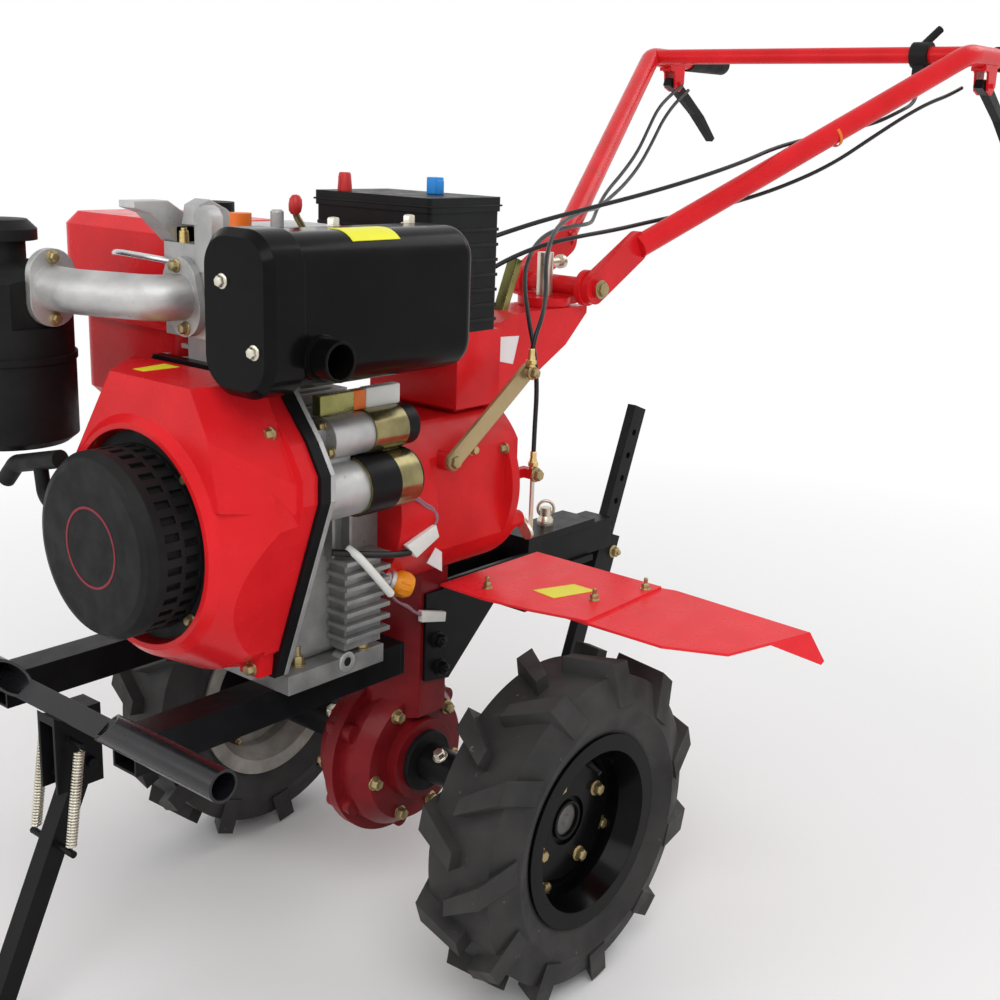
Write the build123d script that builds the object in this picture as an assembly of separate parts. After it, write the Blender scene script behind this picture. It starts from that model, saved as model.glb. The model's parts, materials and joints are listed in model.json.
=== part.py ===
from build123d import *
import os
from math import atan2, cos, degrees, hypot, pi, radians, sin, sqrt, tan

# Walking tractor with an air-cooled single-cylinder diesel engine.
# X points forward, Y to the machine's left and Z up, all in millimetres.
# Stations along X are given from the wheel axle; AXLE_X moves the finished
# pieces so that the origin is on the ground at the middle of the length.

# Clearances
SEAT_GAP = 0.2
TURN_GAP = 0.06
SLIDE_GAP = 0.5
SIDE_GAP = 0.3

# Tyres, 4.00-8 with chevron lugs
TYRE_RADIUS = 208.0
TRACK = 570.0
TREAD_RADIUS = 187.0
TYRE_WIDTH = 114.0
LUGS_PER_SIDE = 11
LUG_ROOT = 20.0
LUG_END = 30.0
LUG_SLANT = 40.0
LUG_WRAP = 34.0
LUG_START = 8.0

# Rims, 8 inch
RIM_FLANGE_RADIUS = 118.0
BEAD_RADIUS = 102.0
WELL_RADIUS = 90.0
RIM_WIDTH = 94.0
RIM_WALL = 4.0
DISC_OFFSET = 2.0
DISC_THICKNESS = 6.0
DISC_HOLE = 30.0
RIM_BOLT_CIRCLE = 84.0

# Hubs and output shaft
HUB_RADIUS = 24.0
HUB_FLANGE_RADIUS = 70.0
HUB_FLANGE_THICKNESS = 6.0
SHAFT_RADIUS = 15.0
SHAFT_ENGAGEMENT = 22.0

# Final drive and gear casing
DRIVE_RADIUS = 98.0
DRIVE_HALF_WIDTH = 45.0
DRIVE_FACE = 84.0
DRIVE_SHOULDER = 25.0
DRIVE_LIP = 112.0
DRIVE_LIP_WIDTH = 14.0
BOSS_RADIUS = 53.0
BOSS_END = 60.0
SEAL_RADIUS = 39.0
SEAL_THICKNESS = 8.0
CASING_LENGTH = 104.0
CASING_WIDTH = 116.0
CASING_SLOPE = 42.0

# Gearbox and clutch housing
CRANK_HEIGHT = 365.0
GEARBOX_RADIUS = 115.0
GEARBOX_SIDE = 99.0
GEARBOX_DROP = 11.0
GEARBOX_FLAT = 95.0
GEARBOX_BACK = -118.0
GEARBOX_STEP = 62.0
GEARBOX_FRONT = 106.0
LEVER_X = 21.0
LEVER_Y = 112.0
LEVER_Z = 616.0
LEVER_PIN_X = -111.0
LEVER_PIN_Z = 708.0
LEVER_WIDTH = 22.0
CRANK_ARM_X = -134.0

# Engine block
FOOT_DROP = 187.0
FOOT_THICKNESS = 22.0
FOOT_LENGTH = 146.0
FOOT_NEAR = 95.0
FOOT_FAR = -225.0
BLOCK_LENGTH = 160.0
BLOCK_NEAR = 76.0
BLOCK_FAR = -150.0
BLOCK_TOP = 640.0
CYLINDER_TOP = 800.0
CYLINDER_NEAR = 60.0
CYLINDER_FAR = -70.0
HEAD_TOP = 868.0
ROCKER_TOP = 888.0
BRACKET_TOP = 914.0
HEAD_LIP = 4.0
HEAD_REACH = 22.0
FIN_PITCH = 15.0
FIN_THICKNESS = 5.0

# Blower shroud and recoil starter
PLATE_THICKNESS = 13.0
SHROUD_INSET = 5.0
SHROUD_RIM = 20.0
SHROUD_DEPTH = 104.0
SHROUD_BOTTOM = 160.0
SHROUD_SIDE = 169.0
VOLUTE_RADIUS = 162.0
VOLUTE_NOSE = 120.0
TOWER_TOP = 168.0
TOWER_HALF = 104.0
TOWER_DEPTH = 96.0
OPENING_RADIUS = 114.0
OPENING_DEPTH = 22.0
RECOIL_RADIUS = 98.0
RECOIL_FLANGE = 111.0
RECOIL_REACH = 54.0
SLOT_COUNT = 36
SLOT_ROWS = 2

# Electric starter
STARTER_Y = 118.0
STARTER_Z = 616.0
SOLENOID_Y = 112.0
SOLENOID_Z = 673.0

# Exhaust
MUFFLER_NEAR = 188.0
MUFFLER_FAR = 84.0
MUFFLER_BACK = 72.0
MUFFLER_FRONT = 362.0
MUFFLER_CAP = 44.0
MUFFLER_CORNER = 34.0
MUFFLER_TOP = 894.0
MUFFLER_BOTTOM = 742.0
OUTLET_RADIUS = 20.0
OUTLET_LENGTH = 27.0
OUTLET_COLLAR = 3.0

# Intake
CLEANER_X = 376.0
CLEANER_Y = -242.0
CLEANER_RADIUS = 75.0
CLEANER_BOTTOM = 636.0
CLEANER_TOP = 832.0
CLEANER_CAP_TOP = 882.0
PORT_DEPTH = 8.0
INTAKE_HEAD_Y = -27.0
INTAKE_TURN_X = 324.0
INTAKE_CLEANER_X = 360.0
INTAKE_Z = 813.0
INTAKE_BEND = 30.0
INTAKE_FLANGE_LENGTH = 84.0
INTAKE_RADIUS = 24.0
INTAKE_WALL = 4.0
INTAKE_FLANGE = 9.0

# Fuel tank
TANK_FRONT = 248.0
TANK_BACK = 88.0
TANK_NEAR = -86.0
TANK_FAR = -330.0
TANK_STEP = 38.0
TANK_BOTTOM = 664.0
TANK_TOP = 893.0
TANK_SEAM = 764.0

# Battery and its pedestal
BATTERY_FRONT = 24.0
BATTERY_BACK = -99.0
BATTERY_NEAR = 72.0
BATTERY_FAR = -117.0
BATTERY_BOTTOM = 757.0
BATTERY_TOP = 916.0
BATTERY_LID = 17.0
PEDESTAL_FRONT = -30.0
PEDESTAL_BACK = -110.0
PEDESTAL_GAP = 7.0

# Frame rails, bumper and stand
FRAME_NEAR = 71.0
FRAME_CLEARANCE = 17.0
RAIL_SIZE = 40.0
RAIL_WALL = 3.0
BUMPER_X = 442.0
BUMPER_RADIUS = 17.0
BUMPER_WALL = 3.0
BUMPER_LENGTH = 562.0
DENT_LENGTH = 150.0
DENT_RAMP = 46.0
DENT_TILT = 35.0
STAND_X = 415.0
STAND_Z = 312.0
STAND_LEAN = 24.7
LEG_WIDTH = 22.0
LEG_THICKNESS = 24.0
FOOT_PLATE = 6.0
PIVOT_RADIUS = 6.0
CHEEK_THICKNESS = 4.0
SPRING_RADIUS = 6.0
SPRING_OFFSET = 34.0
SPRING_LUG = 97.0

# Fenders
FENDER_Z = 440.0
FENDER_INNER = 64.0
FENDER_OUTER = 478.0
FENDER_FRONT = -20.0
FENDER_BACK = -212.0
SHEET = 3.0
BRACKET_FRONT = 5.0
LIP_REACH = 30.0
LIP_DROP = 46.0

# Hitch and depth bar
HITCH_BACK = -390.0
HITCH_BOTTOM = 384.0
HITCH_PLATE = 9.0
HITCH_GAP = 46.0
HITCH_WIDTH = 60.0
HITCH_WEB_X = -236.0
HITCH_WEB = 26.0
HITCH_PIN_X = -310.0
HITCH_PIN_RADIUS = 8.0
BAR_LEAN = 20.5
BAR_WIDTH = 30.0
BAR_THICKNESS = 14.0
BAR_LENGTH = 515.0
BAR_TOP_REACH = 227.0
BAR_HOLE_PITCH = 36.0
CLAMP_X = -447.0
CLAMP_WALL = 8.0
CLAMP_LENGTH = 58.0

# Handlebar
COLUMN_X = -285.0
COLUMN_TOP = 766.0
COLUMN_WIDTH = 80.0
COLUMN_BACK = -330.0
COLUMN_FOOT = 50.0
COLUMN_SHOULDER = 36.0
COLUMN_NECK = 72.0
YOKE_PLATE = 12.0
YOKE_PLATE_RADIUS = 36.0
PIN_RADIUS = 8.0
SLEEVE_RADIUS = 11.0
SLEEVE_HEIGHT = 58.0
TILT_X = -312.0
TILT_Z = 792.0
YOKE_TUBE_RADIUS = 13.0
DISC_FACE = 56.0
DISC_RADIUS = 24.0
DISC_SIZE = 9.0
ARM_RADIUS = 16.0
ARM_PLATE = 12.0
ARM_START = 96.0
ELBOW_X = -933.0
ELBOW_Y = 289.0
ELBOW_Z = 1128.0
ELBOW_BEND = 60.0
GRIP_END = -1170.0
GRIP_LENGTH = 120.0
GRIP_RADIUS = 19.0
CROSSBAR_RADIUS = 12.5

LEVER_BRACKET_X = -1010.0
THROTTLE_Y = 214.0

# Control cables, from the handlebar to the engine and gearbox
CABLE_DIAMETER = 6.0
CABLES = {
    "throttle_cable": [
        (-934, 214, 1093.7), (-934, 214, 1070), (-908, 220, 1054), (-858, 224, 1042), (-812, 206, 1022),
        (-752, 180, 1010), (-690, 160, 996), (-620, 146, 982), (-548, 140, 962), (-456, 120, 938),
        (-376, 88, 916), (-300, 58, 898), (-226, 36, 882), (-168, 12, 864), (-134, -34, 842),
        (-124, -92, 812), (-104, -138, 776), (-52, -150, 734), (4, -148, 690), (46, -136, 646),
        (74, -122, 612), (105.7, -122, 612),
    ],
    "left_clutch_cable": [
        (-994, 260, 1082), (-960, 256, 1070), (-908, 248, 1057), (-852, 237, 1036), (-790, 218, 1004),
        (-714, 190, 960), (-640, 150, 926), (-572, 112, 903), (-512, 80, 888), (-446, 56, 876),
        (-380, 44, 866), (-310, 34, 859), (-250, 20, 849), (-196, -2, 828), (-160, -40, 792),
        (-142, -80, 744), (-124, -104, 692), (-103, -112, 646), (-103, -112, 602.6),
    ],
    "main_clutch_cable": [
        (-994, -260, 1082), (-958, -258, 1066), (-906, -250, 1040), (-856, -234, 1004), (-802, -216, 966),
        (-736, -198, 932), (-660, -176, 902), (-582, -136, 878), (-508, -88, 866), (-440, -46, 866),
        (-374, -30, 866), (-308, -18, 860), (-246, 4, 840), (-200, 32, 810), (-168, 66, 772),
        (-150, 94, 730), (-144, 106, 684), (-142, 106, 632), (-142, 106, 578.4),
    ],
    "right_clutch_cable": [
        (-994, -246, 1074), (-958, -244, 1056), (-904, -236, 1022), (-850, -220, 982), (-790, -202, 944),
        (-718, -180, 914), (-640, -156, 892), (-560, -116, 884), (-484, -66, 886), (-408, -28, 888),
        (-332, -2, 880), (-262, 30, 868), (-206, 62, 838), (-172, 92, 798), (-136, 116, 774), (-112, 121, 744), (-111, 121, 714.8),
    ],
}

# Places worked out from the sizes above
AXLE_Z = TYRE_RADIUS
CRANK_Z = AXLE_Z + CRANK_HEIGHT
GEARBOX_Z = CRANK_Z - GEARBOX_DROP
PEDESTAL_Z = GEARBOX_Z + GEARBOX_FLAT + PEDESTAL_GAP
FRAME_FAR = -(TRACK / 2 - TYRE_WIDTH / 2 - FRAME_CLEARANCE)
FRAME_Y = (FRAME_NEAR + FRAME_FAR) / 2
RAIL_SPAN = FRAME_NEAR - FRAME_FAR
FOOT_Z = CRANK_Z - FOOT_DROP
BLOCK_BACK = GEARBOX_FRONT
BLOCK_FRONT = BLOCK_BACK + BLOCK_LENGTH
SHROUD_BACK = BLOCK_FRONT + PLATE_THICKNESS
SHROUD_FRONT = SHROUD_BACK + SHROUD_DEPTH
RAIL_BACK = CASING_LENGTH / 2 + RAIL_WALL * 2
HUB_START = BOSS_END + SEAL_THICKNESS + SIDE_GAP
DISC_Y = TRACK / 2 + DISC_OFFSET
YOKE_BOTTOM = COLUMN_TOP + SIDE_GAP
LEG_LENGTH = STAND_Z / cos(radians(STAND_LEAN))
FOOT_TIP = STAND_X + LEG_LENGTH * sin(radians(STAND_LEAN)) + 24
AXLE_X = -(FOOT_TIP + GRIP_END) / 2


def block(x0, x1, y0, y1, z0, z1):
    centre = Pos((x0 + x1) / 2, (y0 + y1) / 2, (z0 + z1) / 2)
    return centre * Box(x1 - x0, y1 - y0, z1 - z0)


def rod(start, end, radius):
    line = Vector(*end) - Vector(*start)
    plane = Plane(origin=start, z_dir=line)
    return extrude(plane * Circle(radius), line.length)


def pipe(start, end, radius, wall):
    line = Vector(*end) - Vector(*start)
    plane = Plane(origin=start, z_dir=line)
    ring = Circle(radius) - Circle(radius - wall)
    return extrude(plane * ring, line.length)


def side_plate(points, y0, y1):
    outline = Plane.XZ * make_face(Polyline(*points, close=True))
    return Pos(0, y1, 0) * extrude(outline, y1 - y0)


def both_sides(shape):
    return Compound([shape, mirror(shape, Plane.XZ)])


def save(shape, node):
    export_step(Pos(AXLE_X, 0, 0) * shape, "parts/" + node + ".step")


def on_wheel(shape, side):
    turn = -90 if side > 0 else 90
    return Pos(0, side * TRACK / 2, AXLE_Z) * Rot(turn, 0, 0) * shape


def lugs_forward(shape, side):
    return Pos(0, side * TRACK / 2, AXLE_Z) * Rot(90, 0, 0) * shape


def both_edges(points):
    mirrored = [(radius, -z) for radius, z in reversed(points)]
    return make_face(Polyline(*points, *mirrored, close=True))


def tyre_carcass():
    half = TYRE_WIDTH / 2
    seat = BEAD_RADIUS + SEAT_GAP
    flange = RIM_WIDTH / 2 - RIM_WALL - SEAT_GAP
    over = RIM_FLANGE_RADIUS + SEAT_GAP
    points = [(seat, flange), (over, flange), (over + 30, half), (TREAD_RADIUS, half - 14)]
    return revolve(Plane.XZ * both_edges(points), Axis.Z)


def lug_envelope():
    half = TYRE_WIDTH / 2
    reach = LUG_SLANT + LUG_END / 2
    middle = (reach - LUG_ROOT / 2) / 2
    top = sqrt(TYRE_RADIUS**2 - (reach - middle) ** 2)
    low = TREAD_RADIUS - LUG_WRAP
    section = [(low, half), (top, half - 10), (top, -LUG_ROOT), (low, -LUG_ROOT)]
    prism = extrude(Plane.XZ * make_face(Polyline(*section, close=True)), 2 * reach, both=True)
    return Rot(0, 0, degrees(atan2(middle, top))) * prism


def lug(upper):
    half = TYRE_WIDTH / 2 + 2
    root = -4
    points = [
        (-LUG_ROOT / 2, root),
        (LUG_ROOT / 2, root),
        (LUG_SLANT + LUG_END / 2, half),
        (LUG_SLANT - LUG_END / 2, half),
    ]
    face = make_face(Polyline(*points, close=True))
    face = Plane(origin=(TREAD_RADIUS - LUG_WRAP - 6, 0, 0), x_dir=(0, 1, 0), z_dir=(1, 0, 0)) * face
    shape = extrude(face, TYRE_RADIUS) & lug_envelope()
    return shape if upper else mirror(shape, Plane.XY)


def tyre():
    step = 360 / LUGS_PER_SIDE
    lugs = []
    for upper in (True, False):
        one = lug(upper)
        shift = 0 if upper else step / 2
        for index in range(LUGS_PER_SIDE):
            lugs.append(Rot(0, 0, index * step + shift) * one)
    return Rot(0, 0, LUG_START) * (tyre_carcass() + lugs)


def rim():
    edge = RIM_WIDTH / 2
    bead = edge - RIM_WALL
    well = bead - 24
    half = [
        (BEAD_RADIUS - RIM_WALL, edge),
        (RIM_FLANGE_RADIUS, edge),
        (RIM_FLANGE_RADIUS, bead),
        (BEAD_RADIUS, bead),
        (BEAD_RADIUS, bead - 16),
        (WELL_RADIUS, well),
    ]
    inside = [
        (WELL_RADIUS - RIM_WALL, -well - 1),
        (WELL_RADIUS - RIM_WALL, well + 1),
    ]
    outside = half + [(radius, -z) for radius, z in reversed(half)]
    barrel = revolve(Plane.XZ * make_face(Polyline(*outside, *inside, close=True)), Axis.Z)
    dish = [
        (DISC_HOLE, DISC_OFFSET),
        (RIM_BOLT_CIRCLE - 14, DISC_OFFSET),
        (RIM_BOLT_CIRCLE - 8, DISC_OFFSET - 6),
        (WELL_RADIUS - 2, DISC_OFFSET - 6),
        (WELL_RADIUS - 2, DISC_OFFSET + DISC_THICKNESS - 6),
        (RIM_BOLT_CIRCLE - 5, DISC_OFFSET + DISC_THICKNESS - 6),
        (RIM_BOLT_CIRCLE - 11, DISC_OFFSET + DISC_THICKNESS),
        (DISC_HOLE, DISC_OFFSET + DISC_THICKNESS),
    ]
    disc = revolve(Plane.XZ * make_face(Polyline(*dish, close=True)), Axis.Z)
    return barrel + disc


def axle_hub(side):
    tube_end = DISC_Y
    shaft_start = BOSS_END - SHAFT_ENGAGEMENT
    hub = rod((0, HUB_START, AXLE_Z), (0, tube_end, AXLE_Z), HUB_RADIUS)
    hub += rod((0, tube_end - HUB_FLANGE_THICKNESS, AXLE_Z), (0, tube_end, AXLE_Z), HUB_FLANGE_RADIUS)
    hub += rod((0, shaft_start, AXLE_Z), (0, HUB_START, AXLE_Z), SHAFT_RADIUS)
    nose = DISC_Y + DISC_THICKNESS
    hub += pipe((0, tube_end, AXLE_Z), (0, nose, AXLE_Z), HUB_RADIUS, 4)
    return hub if side > 0 else mirror(hub, Plane.XZ)


def final_drive():
    lip = DRIVE_LIP_WIDTH / 2
    section = [
        (0, DRIVE_HALF_WIDTH),
        (DRIVE_FACE, DRIVE_HALF_WIDTH),
        (DRIVE_RADIUS, DRIVE_SHOULDER),
        (DRIVE_RADIUS, lip),
        (DRIVE_LIP, lip),
    ]
    body = revolve(Plane.XZ * both_edges(section), Axis.Z)
    body = Pos(0, 0, AXLE_Z) * Rot(90, 0, 0) * body
    casing_top = GEARBOX_Z - sqrt(GEARBOX_RADIUS**2 - (CASING_WIDTH / 2) ** 2) + 2
    half = CASING_WIDTH / 2
    casing = block(-CASING_LENGTH / 2, CASING_LENGTH / 2, -half, half, AXLE_Z + 60, casing_top)
    corners = casing.edges().filter_by(Axis.Z).sort_by(Axis.X)
    casing = chamfer(corners[2:], CASING_SLOPE)
    casing = chamfer(casing.edges().filter_by(Axis.Z).sort_by(Axis.X)[:2], 14)
    boss = rod((0, -BOSS_END, AXLE_Z), (0, BOSS_END, AXLE_Z), BOSS_RADIUS)
    seal = BOSS_END + SEAL_THICKNESS
    cover = rod((0, -seal, AXLE_Z), (0, seal, AXLE_Z), SEAL_RADIUS)
    whole = body + casing + boss + cover
    for angle in range(30, 360, 60):
        x = DRIVE_RADIUS * cos(radians(angle))
        z = AXLE_Z + DRIVE_RADIUS * sin(radians(angle))
        whole += rod((x, -20, z), (x, 20, z), 12)
    drum = rod((GEARBOX_BACK, 0, GEARBOX_Z), (GEARBOX_FRONT, 0, GEARBOX_Z), GEARBOX_RADIUS + SEAT_GAP)
    bore = BOSS_END - SHAFT_ENGAGEMENT - 1
    for side in (-1, 1):
        whole -= rod((0, side * bore, AXLE_Z), (0, side * (seal + 1), AXLE_Z), SHAFT_RADIUS + TURN_GAP)
    return whole - drum


def gearbox_flange(radius, clearance):
    start = GEARBOX_BACK + 12 - clearance
    return rod((start, 0, GEARBOX_Z), (start + 14 + 2 * clearance, 0, GEARBOX_Z), radius)


def gearbox():
    drum = rod((GEARBOX_BACK, 0, GEARBOX_Z), (GEARBOX_STEP, 0, GEARBOX_Z), GEARBOX_RADIUS)
    high = GEARBOX_Z + GEARBOX_RADIUS
    low = GEARBOX_Z - GEARBOX_RADIUS
    drum &= block(GEARBOX_BACK, GEARBOX_STEP, -GEARBOX_SIDE, GEARBOX_SIDE, low, high)
    bell_start = GEARBOX_STEP - 16
    bell = rod((bell_start, 0, GEARBOX_Z), (GEARBOX_FRONT, 0, GEARBOX_Z), GEARBOX_RADIUS)
    flat = block(GEARBOX_BACK - 1, GEARBOX_FRONT + 1, -GEARBOX_RADIUS, GEARBOX_RADIUS, GEARBOX_Z + GEARBOX_FLAT, high + 1)
    whole = drum + bell - flat + gearbox_flange(GEARBOX_RADIUS, 0)
    whole += rod((LEVER_X, GEARBOX_SIDE - 10, LEVER_Z), (LEVER_X, LEVER_Y - SIDE_GAP, LEVER_Z), 12)
    whole += rod((GEARBOX_BACK - 16, 91, 512), (GEARBOX_BACK + 20, 91, 512), 11)
    guide = block(CRANK_ARM_X - 14, GEARBOX_BACK + 8, 86, 96, 566, 578)
    guide += block(CRANK_ARM_X - 14, CRANK_ARM_X - 2, 86, 112, 566, 578)
    far_guide = block(GEARBOX_BACK + 8, GEARBOX_BACK + 22, -118, -GEARBOX_SIDE + 8, 590, 602)
    return whole + guide + far_guide


def crankcase():
    foot_front = (BLOCK_BACK + BLOCK_FRONT + FOOT_LENGTH) / 2
    foot = block(foot_front - FOOT_LENGTH, foot_front, FOOT_FAR, FOOT_NEAR, FOOT_Z, FOOT_Z + FOOT_THICKNESS)
    body = block(BLOCK_BACK, BLOCK_FRONT, BLOCK_FAR, BLOCK_NEAR, FOOT_Z + FOOT_THICKNESS, BLOCK_TOP)
    body = fillet(body.edges().filter_by(Axis.X), 14)
    whole = foot + body
    for index in range(4):
        x = BLOCK_FRONT - 24 - index * 26
        whole += block(x - 4, x, BLOCK_NEAR - 4, BLOCK_NEAR + 14, 528, 580)
    whole += block(BLOCK_BACK + 4, BLOCK_FRONT, BLOCK_NEAR - 4, BLOCK_NEAR + 16, 578, 588)
    return whole


def finned_cover():
    top = FOOT_Z + FOOT_THICKNESS + 118
    back = BLOCK_BACK + 12
    front = back + 68
    near = BLOCK_NEAR + SEAT_GAP
    cover = block(back + 6, front - 6, near, near + 24, top - 108, top - 4)
    for index in range(7):
        z = top - index * FIN_PITCH
        cover += block(back, front, near, near + 34, z - FIN_THICKNESS, z)
    return cover


def cylinder_head():
    back = BLOCK_BACK + 34
    near = CYLINDER_NEAR
    far = CYLINDER_FAR
    core = block(back + 12, BLOCK_FRONT, far + 12, near - 12, BLOCK_TOP, CYLINDER_TOP)
    barrel = core
    z = BLOCK_TOP + 6
    while z < CYLINDER_TOP - 34:
        barrel += block(back, BLOCK_FRONT, far, near, z, z + FIN_THICKNESS)
        z += FIN_PITCH
    front = BLOCK_FRONT + HEAD_REACH
    head = block(back - 8, front, far - HEAD_LIP, near + 5, CYLINDER_TOP - 30, HEAD_TOP)
    head = chamfer(head.edges().filter_by(Axis.Z), 8)
    cover = block(back + 2, BLOCK_FRONT - 30, far + 30, near - 6, HEAD_TOP, ROCKER_TOP)
    cover = fillet(cover.faces().sort_by(Axis.Z)[-1].edges().filter_by(Axis.X), 9)
    exhaust = block(180, 240, near, MUFFLER_FAR, 815, 862)
    tank_lug = block(140, 205, TANK_NEAR, far, CYLINDER_TOP + 6, HEAD_TOP - 8)
    return barrel + head + cover + exhaust + tank_lug


def lifting_brackets():
    rear = BLOCK_FRONT - 26
    seat = HEAD_TOP
    tall = [
        (rear - 2, seat), (rear + 34, seat), (rear + 34, seat + 16), (rear + 50, ROCKER_TOP),
        (rear + 46, BRACKET_TOP - 6), (rear + 32, BRACKET_TOP), (rear + 10, BRACKET_TOP - 10), (rear - 2, seat + 26),
    ]
    long = [
        (rear + 16, seat), (rear + 46, seat), (rear + 78, BRACKET_TOP - 16), (rear + 98, BRACKET_TOP - 10),
        (rear + 98, BRACKET_TOP - 3), (rear + 56, BRACKET_TOP - 3), (rear + 16, seat + 18),
    ]
    near = side_plate(tall, -32, -8)
    far = side_plate(long, CYLINDER_FAR - 2, CYLINDER_FAR + 24)
    return Compound([near, far])


def intake_elbow():
    start = BLOCK_FRONT + HEAD_REACH + SIDE_GAP
    end = CLEANER_Y + CLEANER_RADIUS - PORT_DEPTH + SIDE_GAP
    path = FilletPolyline(
        (start, INTAKE_HEAD_Y, INTAKE_Z), (INTAKE_TURN_X, INTAKE_HEAD_Y, INTAKE_Z),
        (INTAKE_CLEANER_X, end + 52, INTAKE_Z), (INTAKE_CLEANER_X, end, INTAKE_Z), radius=INTAKE_BEND,
    )
    tube = sweep(path.location_at(0) * Circle(INTAKE_RADIUS), path)
    bore = sweep(path.location_at(0) * Circle(INTAKE_RADIUS - INTAKE_WALL), path)
    slot = SlotOverall(INTAKE_FLANGE_LENGTH, 2 * INTAKE_RADIUS + 8)
    head_face = Plane(origin=(start, INTAKE_HEAD_Y, INTAKE_Z), x_dir=(0, -0.22, 1), z_dir=(1, 0, 0))
    tube += extrude(head_face * slot, INTAKE_FLANGE)
    cleaner_face = Plane(origin=(INTAKE_CLEANER_X, end, INTAKE_Z), x_dir=(0, 0, 1), z_dir=(0, 1, 0))
    tube += extrude(cleaner_face * slot, INTAKE_FLANGE)
    return tube - bore


def air_cleaner():
    middle = (CLEANER_BOTTOM + CLEANER_TOP) / 2
    cap = CLEANER_CAP_TOP
    section = [
        (0, CLEANER_BOTTOM),
        (CLEANER_RADIUS - 10, CLEANER_BOTTOM),
        (CLEANER_RADIUS, CLEANER_BOTTOM + 8),
        (CLEANER_RADIUS, middle - 4),
        (CLEANER_RADIUS + 2, middle - 4),
        (CLEANER_RADIUS + 2, middle + 3),
        (CLEANER_RADIUS - 1, middle + 3),
        (CLEANER_RADIUS - 1, CLEANER_TOP - 14),
        (CLEANER_RADIUS - 24, CLEANER_TOP),
        (27, CLEANER_TOP + 4),
        (27, cap - 22),
        (40, cap - 22),
        (40, cap - 10),
        (30, cap),
        (0, cap),
    ]
    whole = Pos(CLEANER_X, CLEANER_Y, 0) * revolve(Plane.XZ * make_face(Polyline(*section, close=True)), Axis.Z)
    face = CLEANER_Y + CLEANER_RADIUS - PORT_DEPTH
    port = rod((INTAKE_CLEANER_X, face, INTAKE_Z), (INTAKE_CLEANER_X, CLEANER_Y, INTAKE_Z), 27)
    pad = block(INTAKE_CLEANER_X - 46, INTAKE_CLEANER_X + 46, face, face + 60, INTAKE_Z - INTAKE_FLANGE_LENGTH / 2 - 2, CLEANER_CAP_TOP)
    return whole + port - pad


def shroud_outline(inset):
    half = [
        (TOWER_HALF - inset, TOWER_TOP - inset), (SHROUD_SIDE - 19 - inset, 110), (SHROUD_SIDE - inset, 78),
        (SHROUD_SIDE - inset, 50), (TOWER_HALF - 9 - inset, -SHROUD_BOTTOM),
    ]
    other = [(-y, z) for y, z in reversed(half)]
    return make_face(Polyline(*half, *other, close=True))


def shroud_section(inset, radius):
    lower = Circle(radius) + Pos(0, radius) * Rectangle(4 * radius, 2 * radius)
    return shroud_outline(inset) & lower


def facing_front(sketch, x):
    plane = Plane(origin=(x, 0, CRANK_Z), x_dir=(0, 1, 0), z_dir=(1, 0, 0))
    return plane * sketch


def blower_plate():
    return extrude(facing_front(shroud_outline(0), BLOCK_FRONT), PLATE_THICKNESS)


def blower_tower():
    top = TOWER_TOP
    rear = [(-155, 40), (-112, top), (TOWER_HALF, top), (155, 70), (155, 40)]
    front = [(-128, 50), (-46, top), (86, top), (112, 120), (128, 50)]
    start = SHROUD_BACK + SHROUD_RIM - 1
    sections = [
        facing_front(make_face(Polyline(*rear, close=True)), start),
        facing_front(make_face(Polyline(*front, close=True)), SHROUD_BACK + TOWER_DEPTH),
    ]
    return loft(sections, ruled=True)


def blower_shroud():
    rim_end = SHROUD_BACK + SHROUD_RIM
    rear = extrude(facing_front(shroud_section(SHROUD_INSET, VOLUTE_RADIUS), SHROUD_BACK), SHROUD_RIM)
    section = [
        (SHROUD_BACK, 0),
        (SHROUD_BACK, VOLUTE_RADIUS - 2),
        (rim_end + 23, VOLUTE_RADIUS - 4),
        (SHROUD_FRONT - 9, VOLUTE_NOSE + 10),
        (SHROUD_FRONT, VOLUTE_NOSE),
        (SHROUD_FRONT, 0),
    ]
    volute = Pos(0, 0, CRANK_Z) * revolve(Plane.XZ * make_face(Polyline(*section, close=True)), Axis.X)
    volute &= extrude(facing_front(shroud_section(SHROUD_INSET, VOLUTE_RADIUS), SHROUD_BACK), SHROUD_DEPTH)
    floor = SHROUD_FRONT - OPENING_DEPTH
    opening = rod((floor, 0, CRANK_Z), (SHROUD_FRONT + 1, 0, CRANK_Z), OPENING_RADIUS)
    return rear + volute + blower_tower() - opening


def recoil_starter():
    floor = SHROUD_FRONT - OPENING_DEPTH
    end = SHROUD_FRONT + RECOIL_REACH
    section = [
        (floor, 0),
        (floor, RECOIL_FLANGE),
        (floor + 10, RECOIL_FLANGE),
        (floor + 10, RECOIL_RADIUS),
        (end - 12, RECOIL_RADIUS),
        (end - 3, RECOIL_RADIUS - 6),
        (end, RECOIL_RADIUS - 14),
        (end, 0),
    ]
    face = Plane.XZ * make_face(Polyline(*section, close=True))
    whole = Pos(0, 0, CRANK_Z) * revolve(face, Axis.X)
    pitch = 360 / SLOT_COUNT
    length = (end - floor - 32) / SLOT_ROWS
    cuts = []
    for row in range(SLOT_ROWS):
        x = floor + 15 + row * length
        slot = block(x, x + length - 5, RECOIL_RADIUS - 5, RECOIL_RADIUS + 5, -4, 4)
        for index in range(SLOT_COUNT):
            cuts.append(Pos(0, 0, CRANK_Z) * Rot((index + row / 2) * pitch, 0, 0) * slot)
    return whole - cuts


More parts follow.
